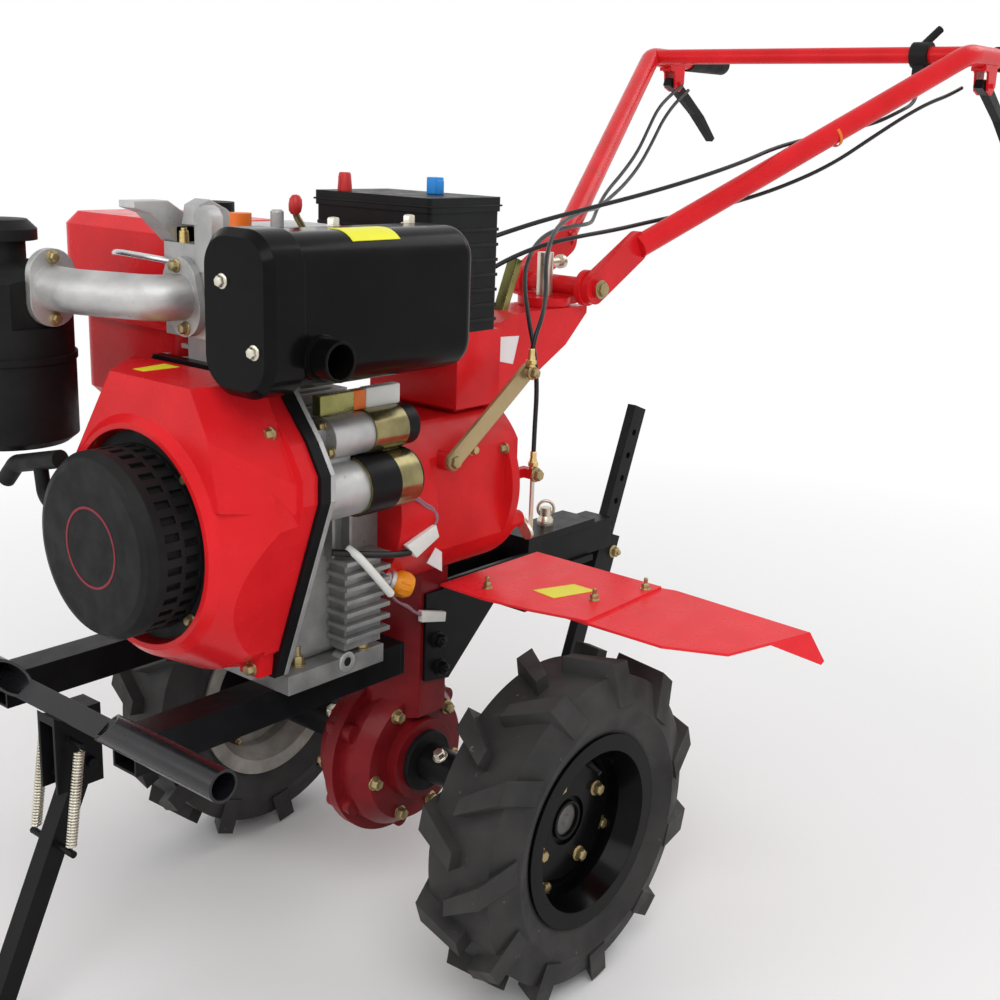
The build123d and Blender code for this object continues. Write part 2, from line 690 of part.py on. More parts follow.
def recoil_handle():
    x = SHROUD_FRONT + 18
    side = -RECOIL_RADIUS
    bar = FilletPolyline(
        (x, side - 117, CRANK_Z + 25), (x, side - 94, CRANK_Z + 47), (x, side - 6, CRANK_Z + 68), radius=20
    )
    grip = sweep(bar.location_at(0) * Circle(10), bar)
    cord = FilletPolyline(
        (x, side - 46, CRANK_Z + 58), (x, side - 40, CRANK_Z + 18), (x, side + 8, CRANK_Z + 8), radius=16
    )
    grip += sweep(cord.location_at(0) * Circle(8), cord)
    cage = rod((x - 60, 0, CRANK_Z), (x + 60, 0, CRANK_Z), RECOIL_RADIUS + SEAT_GAP)
    return grip - cage


def muffler():
    centre_y = (MUFFLER_NEAR + MUFFLER_FAR) / 2
    centre_z = (MUFFLER_BOTTOM + MUFFLER_TOP) / 2
    width = MUFFLER_NEAR - MUFFLER_FAR
    height = MUFFLER_TOP - MUFFLER_BOTTOM
    seam = MUFFLER_FRONT - MUFFLER_CAP
    section = RectangleRounded(width, height, MUFFLER_CORNER)
    rear = Plane(origin=(MUFFLER_BACK, centre_y, centre_z), x_dir=(0, 1, 0), z_dir=(1, 0, 0))
    body = extrude(rear * section, seam - MUFFLER_BACK)
    body = fillet(body.faces().sort_by(Axis.X)[0].edges(), 16)
    front = Plane(origin=(seam, centre_y + 3, centre_z), x_dir=(0, 1, 0), z_dir=(1, 0, 0))
    cap = extrude(front * RectangleRounded(width - 2, height + 8, MUFFLER_CORNER + 4), MUFFLER_CAP)
    cap = chamfer(cap.faces().sort_by(Axis.X)[-1].edges(), 8)
    outlet_x = seam - OUTLET_RADIUS - 2
    outlet_z = MUFFLER_BOTTOM + OUTLET_RADIUS + 14
    end = MUFFLER_NEAR + OUTLET_LENGTH
    outlet = rod((outlet_x, MUFFLER_NEAR - 20, outlet_z), (outlet_x, end, outlet_z), OUTLET_RADIUS)
    weld = MUFFLER_NEAR + OUTLET_COLLAR
    outlet += rod((outlet_x, MUFFLER_NEAR - 20, outlet_z), (outlet_x, weld, outlet_z), OUTLET_RADIUS + 3)
    bore = rod((outlet_x, MUFFLER_NEAR - 10, outlet_z), (outlet_x, end + 1, outlet_z), OUTLET_RADIUS - 3)
    return body + cap + outlet - bore


def tank_part(y0, z0, z1, end):
    base = Plane(origin=((TANK_BACK + TANK_FRONT) / 2, (y0 + TANK_NEAR) / 2, z0))
    outline = RectangleRounded(TANK_FRONT - TANK_BACK, TANK_NEAR - y0, 26)
    part = extrude(base * outline, z1 - z0)
    return chamfer(part.faces().sort_by(Axis.Z)[end].edges(), 14)


def fuel_tank():
    upper = tank_part(TANK_FAR, TANK_SEAM, TANK_TOP - 10, -1)
    lower = tank_part(TANK_FAR + TANK_STEP, TANK_BOTTOM, TANK_SEAM, 0)
    base = Plane(origin=((TANK_BACK + TANK_FRONT) / 2, (TANK_FAR + TANK_NEAR) / 2, TANK_SEAM))
    rim = RectangleRounded(TANK_FRONT - TANK_BACK + 12, TANK_NEAR - TANK_FAR + 12, 32)
    return upper + lower + extrude(base * rim, 4)


def fuel_cap():
    x = TANK_BACK + 37
    y = TANK_NEAR - 104
    return rod((x, y, TANK_TOP - 10), (x, y, TANK_TOP + 6), 26)


def starter_motor():
    solenoid = rod((BLOCK_BACK + 12, SOLENOID_Y, SOLENOID_Z), (BLOCK_BACK + 62, SOLENOID_Y, SOLENOID_Z), 25)
    motor = rod((BLOCK_BACK + 4, STARTER_Y, STARTER_Z), (BLOCK_BACK + 82, STARTER_Y, STARTER_Z), 33)
    return solenoid + motor


def starter_nose():
    upper = rod((BLOCK_BACK + 62, SOLENOID_Y, SOLENOID_Z), (BLOCK_BACK + 120, SOLENOID_Y, SOLENOID_Z), 23)
    lower = rod((BLOCK_BACK + 82, STARTER_Y, STARTER_Z), (BLOCK_FRONT, STARTER_Y, STARTER_Z), 30)
    web = block(BLOCK_BACK + 84, BLOCK_FRONT - 14, BLOCK_NEAR, STARTER_Y, STARTER_Z - 18, SOLENOID_Z + 12)
    return upper + lower + web


def battery():
    lid = BATTERY_LID
    case = block(BATTERY_BACK, BATTERY_FRONT, BATTERY_FAR, BATTERY_NEAR, BATTERY_BOTTOM, BATTERY_TOP - lid)
    top = block(
        BATTERY_BACK - 2, BATTERY_FRONT + 2, BATTERY_FAR - 2, BATTERY_NEAR + 2,
        BATTERY_TOP - lid, BATTERY_TOP,
    )
    case = fillet(case.edges().filter_by(Axis.Z), 5)
    top = fillet(top.edges().filter_by(Axis.Z), 5)
    return case + top


def battery_posts():
    x = BATTERY_FRONT - 16
    y = BATTERY_FAR + 33
    near_x = BATTERY_FRONT - 84
    near_y = BATTERY_NEAR - 70
    posts = [
        rod((x, y, BATTERY_TOP), (x, y, BATTERY_TOP + 22), 8.5),
        block(near_x - 8, near_x + 8, near_y - 8, near_y + 8, BATTERY_TOP, BATTERY_TOP + 20),
    ]
    return Compound(posts)


def handlebar_column():
    pedestal = block(PEDESTAL_BACK, PEDESTAL_FRONT, -BATTERY_NEAR - 4, BATTERY_NEAR, PEDESTAL_Z, BATTERY_BOTTOM)
    seat = GEARBOX_Z + GEARBOX_FLAT + SEAT_GAP
    pedestal += block(PEDESTAL_BACK, PEDESTAL_FRONT - 14, -BATTERY_NEAR + 16, BATTERY_NEAR - 16, seat, PEDESTAL_Z)
    half = COLUMN_WIDTH / 2
    front = PEDESTAL_BACK + 2
    back = PEDESTAL_BACK - COLUMN_FOOT
    profile = [
        (front, PEDESTAL_Z),
        (front, BATTERY_BOTTOM),
        (PEDESTAL_BACK - COLUMN_SHOULDER, BATTERY_BOTTOM),
        (PEDESTAL_BACK - COLUMN_NECK, COLUMN_TOP),
        (COLUMN_BACK, COLUMN_TOP),
        (COLUMN_BACK, COLUMN_TOP - 10),
        (COLUMN_BACK + 44, COLUMN_TOP - 50),
        (COLUMN_BACK + 94, COLUMN_TOP - 76),
        (back, PEDESTAL_Z - 16),
        (GEARBOX_BACK - 6, PEDESTAL_Z - 16),
        (GEARBOX_BACK - 6, PEDESTAL_Z),
    ]
    column = side_plate(profile, -half, half)
    tray = block(BATTERY_BACK - 2, BATTERY_FRONT, BATTERY_FAR, BATTERY_NEAR, BATTERY_BOTTOM - 4, BATTERY_BOTTOM)
    whole = pedestal + column + tray - gearbox_flange(GEARBOX_RADIUS + SEAT_GAP, SEAT_GAP)
    return whole - rod((COLUMN_X, 0, COLUMN_TOP - 30), (COLUMN_X, 0, COLUMN_TOP + 1), PIN_RADIUS)


def swivel_pin():
    sleeve_bottom = YOKE_BOTTOM + YOKE_PLATE + SIDE_GAP
    pin = rod((COLUMN_X, 0, COLUMN_TOP - 30), (COLUMN_X, 0, sleeve_bottom + 1), PIN_RADIUS)
    sleeve = rod((COLUMN_X, 0, sleeve_bottom), (COLUMN_X, 0, sleeve_bottom + SLEEVE_HEIGHT), SLEEVE_RADIUS)
    z = sleeve_bottom + SLEEVE_HEIGHT - 14
    bolt = rod((COLUMN_X, 0, z), (COLUMN_X - 30, 0, z), 6)
    head = rod((COLUMN_X - 30, 0, z), (COLUMN_X - 37, 0, z), 9.5)
    return pin + sleeve + bolt + head


def handlebar_yoke():
    base = rod((COLUMN_X, 0, YOKE_BOTTOM), (COLUMN_X, 0, YOKE_BOTTOM + YOKE_PLATE), YOKE_PLATE_RADIUS)
    web = block(TILT_X - 8, TILT_X + 8, -30, 30, YOKE_BOTTOM + 2, TILT_Z)
    tube = rod((TILT_X, -DISC_FACE, TILT_Z), (TILT_X, DISC_FACE, TILT_Z), YOKE_TUBE_RADIUS)
    whole = base + web + tube
    for side in (-1, 1):
        whole += rod((TILT_X, side * (DISC_FACE - DISC_SIZE), TILT_Z), (TILT_X, side * DISC_FACE, TILT_Z), DISC_RADIUS)
        end = DISC_FACE + SIDE_GAP + ARM_PLATE + SIDE_GAP
        whole += rod((TILT_X, side * DISC_FACE, TILT_Z), (TILT_X, side * end, TILT_Z), PIN_RADIUS)
        whole += rod((TILT_X, side * end, TILT_Z), (TILT_X, side * (end + 7), TILT_Z), 11)
    hole = rod((COLUMN_X, 0, YOKE_BOTTOM - 1), (COLUMN_X, 0, YOKE_BOTTOM + YOKE_PLATE + 1), PIN_RADIUS + TURN_GAP)
    sleeve = rod((COLUMN_X, 0, YOKE_BOTTOM + YOKE_PLATE), (COLUMN_X, 0, TILT_Z + 40), SLEEVE_RADIUS + SIDE_GAP)
    return whole - hole - sleeve


def arm_slope():
    rise = ELBOW_Z - TILT_Z
    run = TILT_X - ELBOW_X
    return rise / run


def arm_tube(radius):
    middle = DISC_FACE + SIDE_GAP + ARM_PLATE / 2
    path = FilletPolyline(
        (TILT_X - ARM_START, middle + 4, TILT_Z + arm_slope() * ARM_START),
        (ELBOW_X, ELBOW_Y, ELBOW_Z),
        (GRIP_END, ELBOW_Y, ELBOW_Z),
        radius=ELBOW_BEND,
    )
    return sweep(path.location_at(0) * Circle(radius), path)


def handlebar_arm():
    inner = DISC_FACE + SIDE_GAP
    reach = hypot(ARM_START, ARM_START * arm_slope())
    plane = Plane(origin=(TILT_X, inner, TILT_Z), x_dir=(-1, 0, arm_slope()), z_dir=(0, 1, 0))
    flat = extrude(plane * Pos(reach / 2, 0) * SlotCenterToCenter(reach, 42), ARM_PLATE)
    hole = rod((TILT_X, inner - 1, TILT_Z), (TILT_X, inner + ARM_PLATE + 1, TILT_Z), PIN_RADIUS + TURN_GAP)
    return flat + arm_tube(ARM_RADIUS) - hole


def crossbar():
    x = ELBOW_X - 4
    bar = rod((x, -ELBOW_Y, ELBOW_Z), (x, ELBOW_Y, ELBOW_Z), CROSSBAR_RADIUS)
    socket = arm_tube(ARM_RADIUS + SEAT_GAP)
    return bar - socket - mirror(socket, Plane.XZ)


def grips():
    start = GRIP_END + GRIP_LENGTH
    sleeve = pipe((start, ELBOW_Y, ELBOW_Z), (GRIP_END, ELBOW_Y, ELBOW_Z), GRIP_RADIUS, GRIP_RADIUS - ARM_RADIUS - 0.1)
    return both_sides(sleeve)


def rail(y):
    front = BUMPER_X
    outer = block(RAIL_BACK, front, y - RAIL_SIZE / 2, y + RAIL_SIZE / 2, FOOT_Z - RAIL_SIZE, FOOT_Z)
    hollow = RAIL_SIZE / 2 - RAIL_WALL
    z0 = FOOT_Z - RAIL_SIZE + RAIL_WALL
    return outer - block(RAIL_BACK, front, y - hollow, y + hollow, z0, FOOT_Z - RAIL_WALL)


def frame_rails():
    offset = (RAIL_SPAN - RAIL_SIZE) / 2
    half = RAIL_SPAN / 2
    bumper = rod((BUMPER_X, FRAME_Y - half, FOOT_Z), (BUMPER_X, FRAME_Y + half, FOOT_Z), BUMPER_RADIUS + SEAT_GAP)
    return Compound([rail(FRAME_Y - offset) - bumper, rail(FRAME_Y + offset) - bumper])


def frame_plate():
    half = RAIL_SPAN / 2
    return block(CASING_LENGTH / 2, RAIL_BACK, FRAME_Y - half, FRAME_Y + half, FOOT_Z - RAIL_SIZE, FOOT_Z)


def bumper():
    half = BUMPER_LENGTH / 2
    tube = pipe((BUMPER_X, FRAME_Y - half, FOOT_Z), (BUMPER_X, FRAME_Y + half, FOOT_Z), BUMPER_RADIUS, BUMPER_WALL)
    dent = Plane(origin=(BUMPER_X, FRAME_Y, FOOT_Z), x_dir=(0, 1, 0), z_dir=(sin(radians(DENT_TILT)), 0, cos(radians(DENT_TILT))))
    top = BUMPER_RADIUS + 2
    floor = -BUMPER_RADIUS + 2 * BUMPER_WALL
    profile = [
        (-DENT_LENGTH / 2 - DENT_RAMP, top), (-DENT_LENGTH / 2, floor), (DENT_LENGTH / 2, floor),
        (DENT_LENGTH / 2 + DENT_RAMP, top),
    ]
    side = Plane(origin=dent.origin, x_dir=(0, 1, 0), z_dir=dent.x_dir.cross(dent.z_dir))
    cut = extrude(side * make_face(Polyline(*profile, close=True)), BUMPER_RADIUS * 2, both=True)
    bar = sqrt(BUMPER_RADIUS**2 - (BUMPER_RADIUS - BUMPER_WALL) ** 2)
    floor_bar = extrude(side * Pos(0, floor - BUMPER_WALL / 2) * Rectangle(DENT_LENGTH, BUMPER_WALL), bar, both=True)
    return tube - cut + floor_bar


def leg_point(along, out):
    lean = radians(STAND_LEAN)
    x = STAND_X + along * sin(lean) + out * cos(lean)
    z = STAND_Z - along * cos(lean) + out * sin(lean)
    return (x, z)


def stand_bracket():
    inner = LEG_THICKNESS / 2 + SIDE_GAP
    outer = inner + CHEEK_THICKNESS
    top = FOOT_Z - BUMPER_RADIUS + 8
    whole = None
    for side in (-1, 1):
        y0, y1 = sorted((FRAME_Y + side * inner, FRAME_Y + side * outer))
        cheek = block(STAND_X - 16, BUMPER_X + 14, y0, y1, STAND_Z - 26, top)
        whole = cheek if whole is None else whole + cheek
    whole += block(STAND_X - 16, BUMPER_X + 14, FRAME_Y - outer, FRAME_Y + outer, top - 12, top)
    bolt_end = outer + 7
    whole += rod((STAND_X, FRAME_Y - bolt_end, STAND_Z), (STAND_X, FRAME_Y + bolt_end, STAND_Z), PIVOT_RADIUS)
    stop_x, stop_z = leg_point(22, LEG_WIDTH / 2 + 5 + SIDE_GAP)
    whole += rod((stop_x, FRAME_Y - outer, stop_z), (stop_x, FRAME_Y + outer, stop_z), 5)
    ear = SPRING_OFFSET + SPRING_RADIUS
    whole += rod((BUMPER_X - 4, FRAME_Y - ear, top - 32), (BUMPER_X - 4, FRAME_Y - inner, top - 32), 3.5)
    whole += rod((BUMPER_X - 4, FRAME_Y + inner, top - 32), (BUMPER_X - 4, FRAME_Y + ear, top - 32), 3.5)
    tube = rod((BUMPER_X, FRAME_Y - 80, FOOT_Z), (BUMPER_X, FRAME_Y + 80, FOOT_Z), BUMPER_RADIUS + SEAT_GAP)
    return whole - tube


def stand_leg():
    half = LEG_THICKNESS / 2
    plane = Plane(origin=(STAND_X, FRAME_Y - half, STAND_Z), x_dir=(sin(radians(STAND_LEAN)), 0, -cos(radians(STAND_LEAN))), z_dir=(0, 1, 0))
    length = LEG_LENGTH - FOOT_PLATE
    shape = Circle(LEG_WIDTH / 2) + Pos(length / 2, 0) * Rectangle(length, LEG_WIDTH)
    leg = extrude(plane * shape, LEG_THICKNESS)
    foot_x, foot_z = leg_point(LEG_LENGTH, 0)
    plate = block(foot_x - 34, foot_x + 24, FRAME_Y - 20, FRAME_Y + 20, 0, FOOT_PLATE)
    below = block(foot_x - 80, foot_x + 80, FRAME_Y - 50, FRAME_Y + 50, -60, 0)
    lug_x, lug_z = leg_point(SPRING_LUG, 0)
    reach = SPRING_OFFSET + SPRING_RADIUS
    pin = rod((lug_x, FRAME_Y - reach, lug_z), (lug_x, FRAME_Y + reach, lug_z), 4)
    hole = rod((STAND_X, FRAME_Y - half - 1, STAND_Z), (STAND_X, FRAME_Y + half + 1, STAND_Z), PIVOT_RADIUS + TURN_GAP)
    return leg + plate + pin - hole - below


def stand_springs():
    top_z = FOOT_Z - BUMPER_RADIUS + 8 - 32
    top = Vector(BUMPER_X - 4, 0, top_z)
    low_x, low_z = leg_point(SPRING_LUG, 0)
    low = Vector(low_x, 0, low_z)
    run = (low - top).normalized()
    springs = []
    for side in (-1, 1):
        y = FRAME_Y + side * SPRING_OFFSET
        a = top + run * 4
        b = low - run * 4.5
        springs.append(rod((a.X, y, a.Z), (b.X, y, b.Z), SPRING_RADIUS))
    return Compound(springs)


def fender():
    step = (FENDER_INNER + FENDER_OUTER) / 2
    front = FENDER_FRONT - 24
    inner_points = [
        (FENDER_FRONT + 2, FENDER_INNER), (FENDER_FRONT + 4, FENDER_INNER + 74), (FENDER_FRONT - 6, step - 67),
        (front, step + 2), (FENDER_BACK, step - 5), (FENDER_BACK, FENDER_INNER),
    ]
    inner = extrude(make_face(Polyline(*inner_points, close=True)), SHEET)
    corner = (front - 33, FENDER_OUTER - 33)
    tail = (FENDER_BACK + 6, FENDER_OUTER)
    outer_points = [
        (front, step - 35), (front, FENDER_OUTER - 100), corner, tail, (FENDER_BACK - 8, step + 12),
        (FENDER_BACK + 6, step - 35),
    ]
    outer = extrude(make_face(Polyline(*outer_points, close=True)), -SHEET)
    length = hypot(corner[0] - tail[0], corner[1] - tail[1])
    edge = Plane(
        origin=(tail[0], tail[1], 0), x_dir=(corner[0] - tail[0], corner[1] - tail[1], 0),
        z_dir=(tail[1] - corner[1], corner[0] - tail[0], 0),
    )
    side = 1 if edge.y_dir.Z > 0 else -1
    lip_points = [(0, 0), (length * 0.54, 0), (-LIP_REACH + 5, -side * LIP_DROP), (-LIP_REACH, -side * (LIP_DROP - 4))]
    lip = extrude(edge * make_face(Polyline(*lip_points, close=True)), -SHEET)
    return Pos(0, 0, FENDER_Z) * (inner + outer + lip)


def fender_bracket():
    face = CASING_WIDTH / 2
    profile = [
        (BRACKET_FRONT, FENDER_Z - SHEET * 2), (-170, FENDER_Z - SHEET * 2), (-150, FENDER_Z - 28),
        (-40, FENDER_Z - 130), (BRACKET_FRONT, FENDER_Z - 122),
    ]
    web = side_plate(profile, face, face + 4)
    shelf = block(-190, FENDER_FRONT - 6, face, FENDER_INNER + 130, FENDER_Z - SHEET, FENDER_Z)
    shelf += block(-170, FENDER_FRONT - 6, face, face + 4, FENDER_Z - SHEET * 2, FENDER_Z)
    whole = web + shelf
    drum = rod((GEARBOX_BACK, 0, GEARBOX_Z), (GEARBOX_FRONT, 0, GEARBOX_Z), GEARBOX_RADIUS + SEAT_GAP)
    return whole - drum


def hitch():
    half = HITCH_WIDTH / 2
    front = -CASING_LENGTH / 2
    low = HITCH_BOTTOM
    high = low + HITCH_PLATE + HITCH_GAP
    bottom = block(HITCH_BACK, front, -half, half, low, low + HITCH_PLATE)
    top = block(HITCH_BACK, HITCH_WEB_X, -half, half, high, high + HITCH_PLATE)
    back_web = block(HITCH_WEB_X - HITCH_WEB, HITCH_WEB_X, -half, half, low, high + HITCH_PLATE)
    cheek = block(HITCH_WEB_X, front, half - 6, half, low, low + 44)
    whole = bottom + top + back_web + cheek + mirror(cheek, Plane.XZ)
    hole = rod((HITCH_PIN_X, 0, low - 1), (HITCH_PIN_X, 0, high + HITCH_PLATE + 1), HITCH_PIN_RADIUS + TURN_GAP)
    return whole - hole


def hitch_pin():
    top = HITCH_BOTTOM + 2 * HITCH_PLATE + HITCH_GAP
    pin = rod((HITCH_PIN_X, 0, HITCH_BOTTOM - 16), (HITCH_PIN_X, 0, top + 26), HITCH_PIN_RADIUS)
    collar = rod((HITCH_PIN_X, 0, top), (HITCH_PIN_X, 0, top + 6), 12)
    return pin + collar


def bar_axis(along):
    lean = radians(BAR_LEAN)
    z = HITCH_BOTTOM + HITCH_PLATE + HITCH_GAP / 2 - 36
    return (CLAMP_X - along * sin(lean), 0, z + along * cos(lean))


def bar_plane():
    lean = radians(BAR_LEAN)
    return Plane(origin=bar_axis(0), x_dir=(cos(lean), 0, sin(lean)), z_dir=(-sin(lean), 0, cos(lean)))


def drawbar_clamp():
    low = HITCH_BOTTOM + HITCH_PLATE
    tongue = block(CLAMP_X + 6, HITCH_WEB_X - HITCH_WEB, -HITCH_WIDTH / 2 + 6, HITCH_WIDTH / 2 - 6, low + SIDE_GAP, low + HITCH_GAP - SIDE_GAP)
    outer = Rectangle(BAR_WIDTH + 2 * CLAMP_WALL, BAR_THICKNESS + 2 * CLAMP_WALL)
    sleeve = extrude(bar_plane() * outer, CLAMP_LENGTH / 2, both=True)
    slot = extrude(bar_plane() * Rectangle(BAR_WIDTH + SLIDE_GAP, BAR_THICKNESS + SLIDE_GAP), 200, both=True)
    hole = rod((HITCH_PIN_X, 0, low), (HITCH_PIN_X, 0, low + HITCH_GAP), HITCH_PIN_RADIUS + TURN_GAP)
    return tongue + sleeve - slot - hole


def depth_bar():
    profile = Rectangle(BAR_WIDTH, BAR_THICKNESS)
    up = extrude(bar_plane() * profile, BAR_TOP_REACH)
    down = extrude(bar_plane() * profile, BAR_TOP_REACH - BAR_LENGTH)
    bar = up + down
    holes = []
    for index in range(5):
        x, y, z = bar_axis(BAR_TOP_REACH - 40 - index * BAR_HOLE_PITCH)
        holes.append(rod((x, -BAR_THICKNESS, z), (x, BAR_THICKNESS, z), 5))
    return bar - holes


def shift_lever():
    low = Vector(LEVER_X, 0, LEVER_Z)
    high = Vector(LEVER_PIN_X, 0, LEVER_PIN_Z)
    run = high - low
    plane = Plane(origin=(low.X, LEVER_Y, low.Z), x_dir=(run.X, 0, run.Z), z_dir=(0, 1, 0))
    plate = extrude(plane * Pos(run.length / 2, 0) * SlotCenterToCenter(run.length, LEVER_WIDTH), 5)
    pin = rod((high.X, LEVER_Y - 6, high.Z), (high.X, LEVER_Y + 12, high.Z), 6)
    return plate + pin


def crank_arm():
    low = Vector(0, 91, 512)
    high = Vector(0, 106, 494)
    run = high - low
    plane = Plane(origin=(CRANK_ARM_X - 5.2, low.Y, low.Z), x_dir=(0, run.Y, run.Z), z_dir=(1, 0, 0))
    arm = extrude(plane * Pos(run.length / 2, 0) * SlotCenterToCenter(run.length, 16), 5)
    wire = rod((CRANK_ARM_X - 8, high.Y, high.Z), (CRANK_ARM_X - 8, 106, 566 - SIDE_GAP), 3)
    return arm + wire


def oil_cap():
    return rod((BLOCK_FRONT + 9, CYLINDER_NEAR - 15, HEAD_TOP), (BLOCK_FRONT + 9, CYLINDER_NEAR - 15, HEAD_TOP + 36), 11)


def lever_bracket():
    y = ELBOW_Y
    top = ELBOW_Z - ARM_RADIUS - SEAT_GAP
    profile = [
        (LEVER_BRACKET_X + 44, top + 12), (LEVER_BRACKET_X - 16, top + 12), (LEVER_BRACKET_X - 16, top - 26),
        (LEVER_BRACKET_X - 4, top - 40), (LEVER_BRACKET_X + 12, top - 34), (LEVER_BRACKET_X + 16, top - 8),
    ]
    inner = side_plate(profile, y - 12, y - 12 + 4)
    outer = side_plate(profile, y + 12 - 4, y + 12)
    saddle = block(LEVER_BRACKET_X - 16, LEVER_BRACKET_X + 30, y - 12, y + 12, top - 5, top + 4)
    pin = rod((LEVER_BRACKET_X, y - 16, top - 26), (LEVER_BRACKET_X, y + 16, top - 26), 4)
    handle = rod((GRIP_END, y, ELBOW_Z), (LEVER_BRACKET_X + 80, y, ELBOW_Z), ARM_RADIUS + SEAT_GAP)
    return inner + outer + saddle + pin - handle


def hand_lever():
    y = ELBOW_Y
    z = ELBOW_Z - ARM_RADIUS - SEAT_GAP - 26
    profile = [
        (LEVER_BRACKET_X + 20, z + 8), (LEVER_BRACKET_X + 24, z - 4), (LEVER_BRACKET_X - 4, z - 14),
        (LEVER_BRACKET_X - 70, z - 52), (LEVER_BRACKET_X - 136, z - 100), (LEVER_BRACKET_X - 144, z - 94),
        (LEVER_BRACKET_X - 100, z - 54), (LEVER_BRACKET_X - 20, z - 2), (LEVER_BRACKET_X, z + 10),
    ]
    blade = side_plate(profile, y - 7, y + 7)
    return blade - rod((LEVER_BRACKET_X, y - 8, z), (LEVER_BRACKET_X, y + 8, z), 4 + TURN_GAP)


def throttle_lever():
    x = ELBOW_X - 4
    y = THROTTLE_Y
    body = rod((x, y - 14, ELBOW_Z), (x, y + 14, ELBOW_Z), CROSSBAR_RADIUS + 7)
    body += block(x - 6, x + 12, y - 9, y + 9, ELBOW_Z - 34, ELBOW_Z)
    thumb = rod((x, y, ELBOW_Z + 14), (x - 26, y + 14, ELBOW_Z + 40), 6)
    return body + thumb - rod((x, y - 20, ELBOW_Z), (x, y + 20, ELBOW_Z), CROSSBAR_RADIUS + SEAT_GAP)


def cable(route, diameter):
    points = [Vector(*point) for point in route]
    runs = [b - a for a, b in zip(points, points[1:])]
    bends = []
    for before, after in zip(runs, runs[1:]):
        turn = radians(before.get_angle(after))
        bends.append(0.45 * min(before.length, after.length) / tan(turn / 2))
    line = FilletPolyline(*points, radius=bends)
    print("bends", [round(bend) for bend in bends], "length", round(line.length))
    return sweep(line.location_at(0) * Circle(diameter / 2), line)


os.makedirs("parts", exist_ok=True)
for side, name in ((1, "left"), (-1, "right")):
    save(lugs_forward(tyre(), side), "tyre_" + name)
    save(on_wheel(rim(), side), "rim_" + name)
    save(axle_hub(side), "axle_hub_" + name)
save(both_sides(fender()), "fenders")
save(both_sides(fender_bracket()), "fender_brackets")
save(final_drive(), "final_drive")
save(gearbox(), "gearbox")
save(crankcase(), "crankcase")
save(finned_cover(), "finned_cover")
save(cylinder_head(), "cylinder_head")
save(intake_elbow(), "intake_elbow")
save(air_cleaner(), "air_cleaner")
save(blower_plate(), "blower_plate")
save(blower_shroud(), "blower_shroud")
save(recoil_starter(), "recoil_starter")
save(recoil_handle(), "recoil_handle")
save(muffler(), "muffler")
save(fuel_tank(), "fuel_tank")
save(fuel_cap(), "fuel_cap")
save(starter_motor(), "starter_motor")
save(starter_nose(), "starter_nose")
save(battery(), "battery")
save(battery_posts(), "battery_posts")
save(handlebar_column(), "handlebar_column")
save(swivel_pin(), "swivel_pin")
save(handlebar_yoke(), "handlebar_yoke")
save(both_sides(handlebar_arm()), "handlebar_arms")
save(crossbar(), "crossbar")
save(grips(), "grips")
save(frame_rails(), "frame_rails")
save(frame_plate(), "frame_plate")
save(bumper(), "bumper")
save(stand_bracket(), "stand_bracket")
save(stand_leg(), "stand_leg")
save(stand_springs(), "stand_springs")
save(hitch(), "hitch")
save(hitch_pin(), "hitch_pin")
save(drawbar_clamp(), "drawbar_clamp")
save(depth_bar(), "depth_bar")
save(shift_lever(), "shift_lever")
save(crank_arm(), "crank_arm")
save(oil_cap(), "oil_cap")
save(lifting_brackets(), "lifting_brackets")
save(both_sides(lever_bracket()), "lever_brackets")
save(both_sides(hand_lever()), "hand_levers")
save(throttle_lever(), "throttle_lever")
for name, route in CABLES.items():
    save(cable(route, CABLE_DIAMETER), name)
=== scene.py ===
import json
import math

import bmesh
import bpy
from mathutils import Matrix, Quaternion, Vector


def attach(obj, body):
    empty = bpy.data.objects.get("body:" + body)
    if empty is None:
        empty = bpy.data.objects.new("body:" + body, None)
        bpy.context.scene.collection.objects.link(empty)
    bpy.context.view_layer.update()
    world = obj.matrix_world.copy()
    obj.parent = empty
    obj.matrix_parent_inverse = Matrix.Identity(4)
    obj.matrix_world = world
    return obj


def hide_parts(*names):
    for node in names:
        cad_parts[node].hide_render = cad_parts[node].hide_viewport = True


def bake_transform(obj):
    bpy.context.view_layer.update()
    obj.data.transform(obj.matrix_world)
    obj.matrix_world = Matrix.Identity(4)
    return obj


# Walking tractor with an air-cooled diesel engine: its small pieces, cables and colours.
# Metres, X forward, Y to the machine's left, Z up. Stations are written in millimetres,
# along X from the wheel axle and up from the floor, and place() turns them into metres.
AXLE_X = 293.748
AXLE_Z = 208.0
CRANK_Z = 573.0
TRACK = 570.0

# Stations of the faces that the small pieces sit on
WHEEL_FACE = TRACK / 2 + 8
RIM_RING_DEPTH = 6
COVER_FACE = 45
BOSS_FACE = 60.1
PLATE_FACE = 62
FENDER_TOP = 443
GEARBOX_SIDE = 99
GEARBOX_BACK = -118
GEARBOX_AXIS = 562
COLUMN_SIDE = 40
FOOT_TOP = 408
FLANGE_FACE = 371
DISC_FACE = 437
TOWER_TOP = 741
INTAKE_FACE = 297.3
CLEANER_FACE = -165.7
MUFFLER_CAP = 361.8
MUFFLER_TOP = 892.5
MUFFLER_CORNER = 34.0
MUFFLER_CORNER_Y = 154
MUFFLER_CORNER_Z = 860
MOTOR_Y = 118
MOTOR_Z = 616
SOLENOID_Y = 112
SOLENOID_Z = 673
BATTERY_TOP = 916
BATTERY_BACK = -98.4
BATTERY_FRONT = 23.4
BATTERY_NEAR = 71.4
BATTERY_FAR = -116.4
SPRING_TOP = (438, 345)
SPRING_LOW = (455.5, 223.9)
SPRING_SIDES = (-104, -36)
CLAMP_SIDE = 15
YOKE_SIDE = 75.4

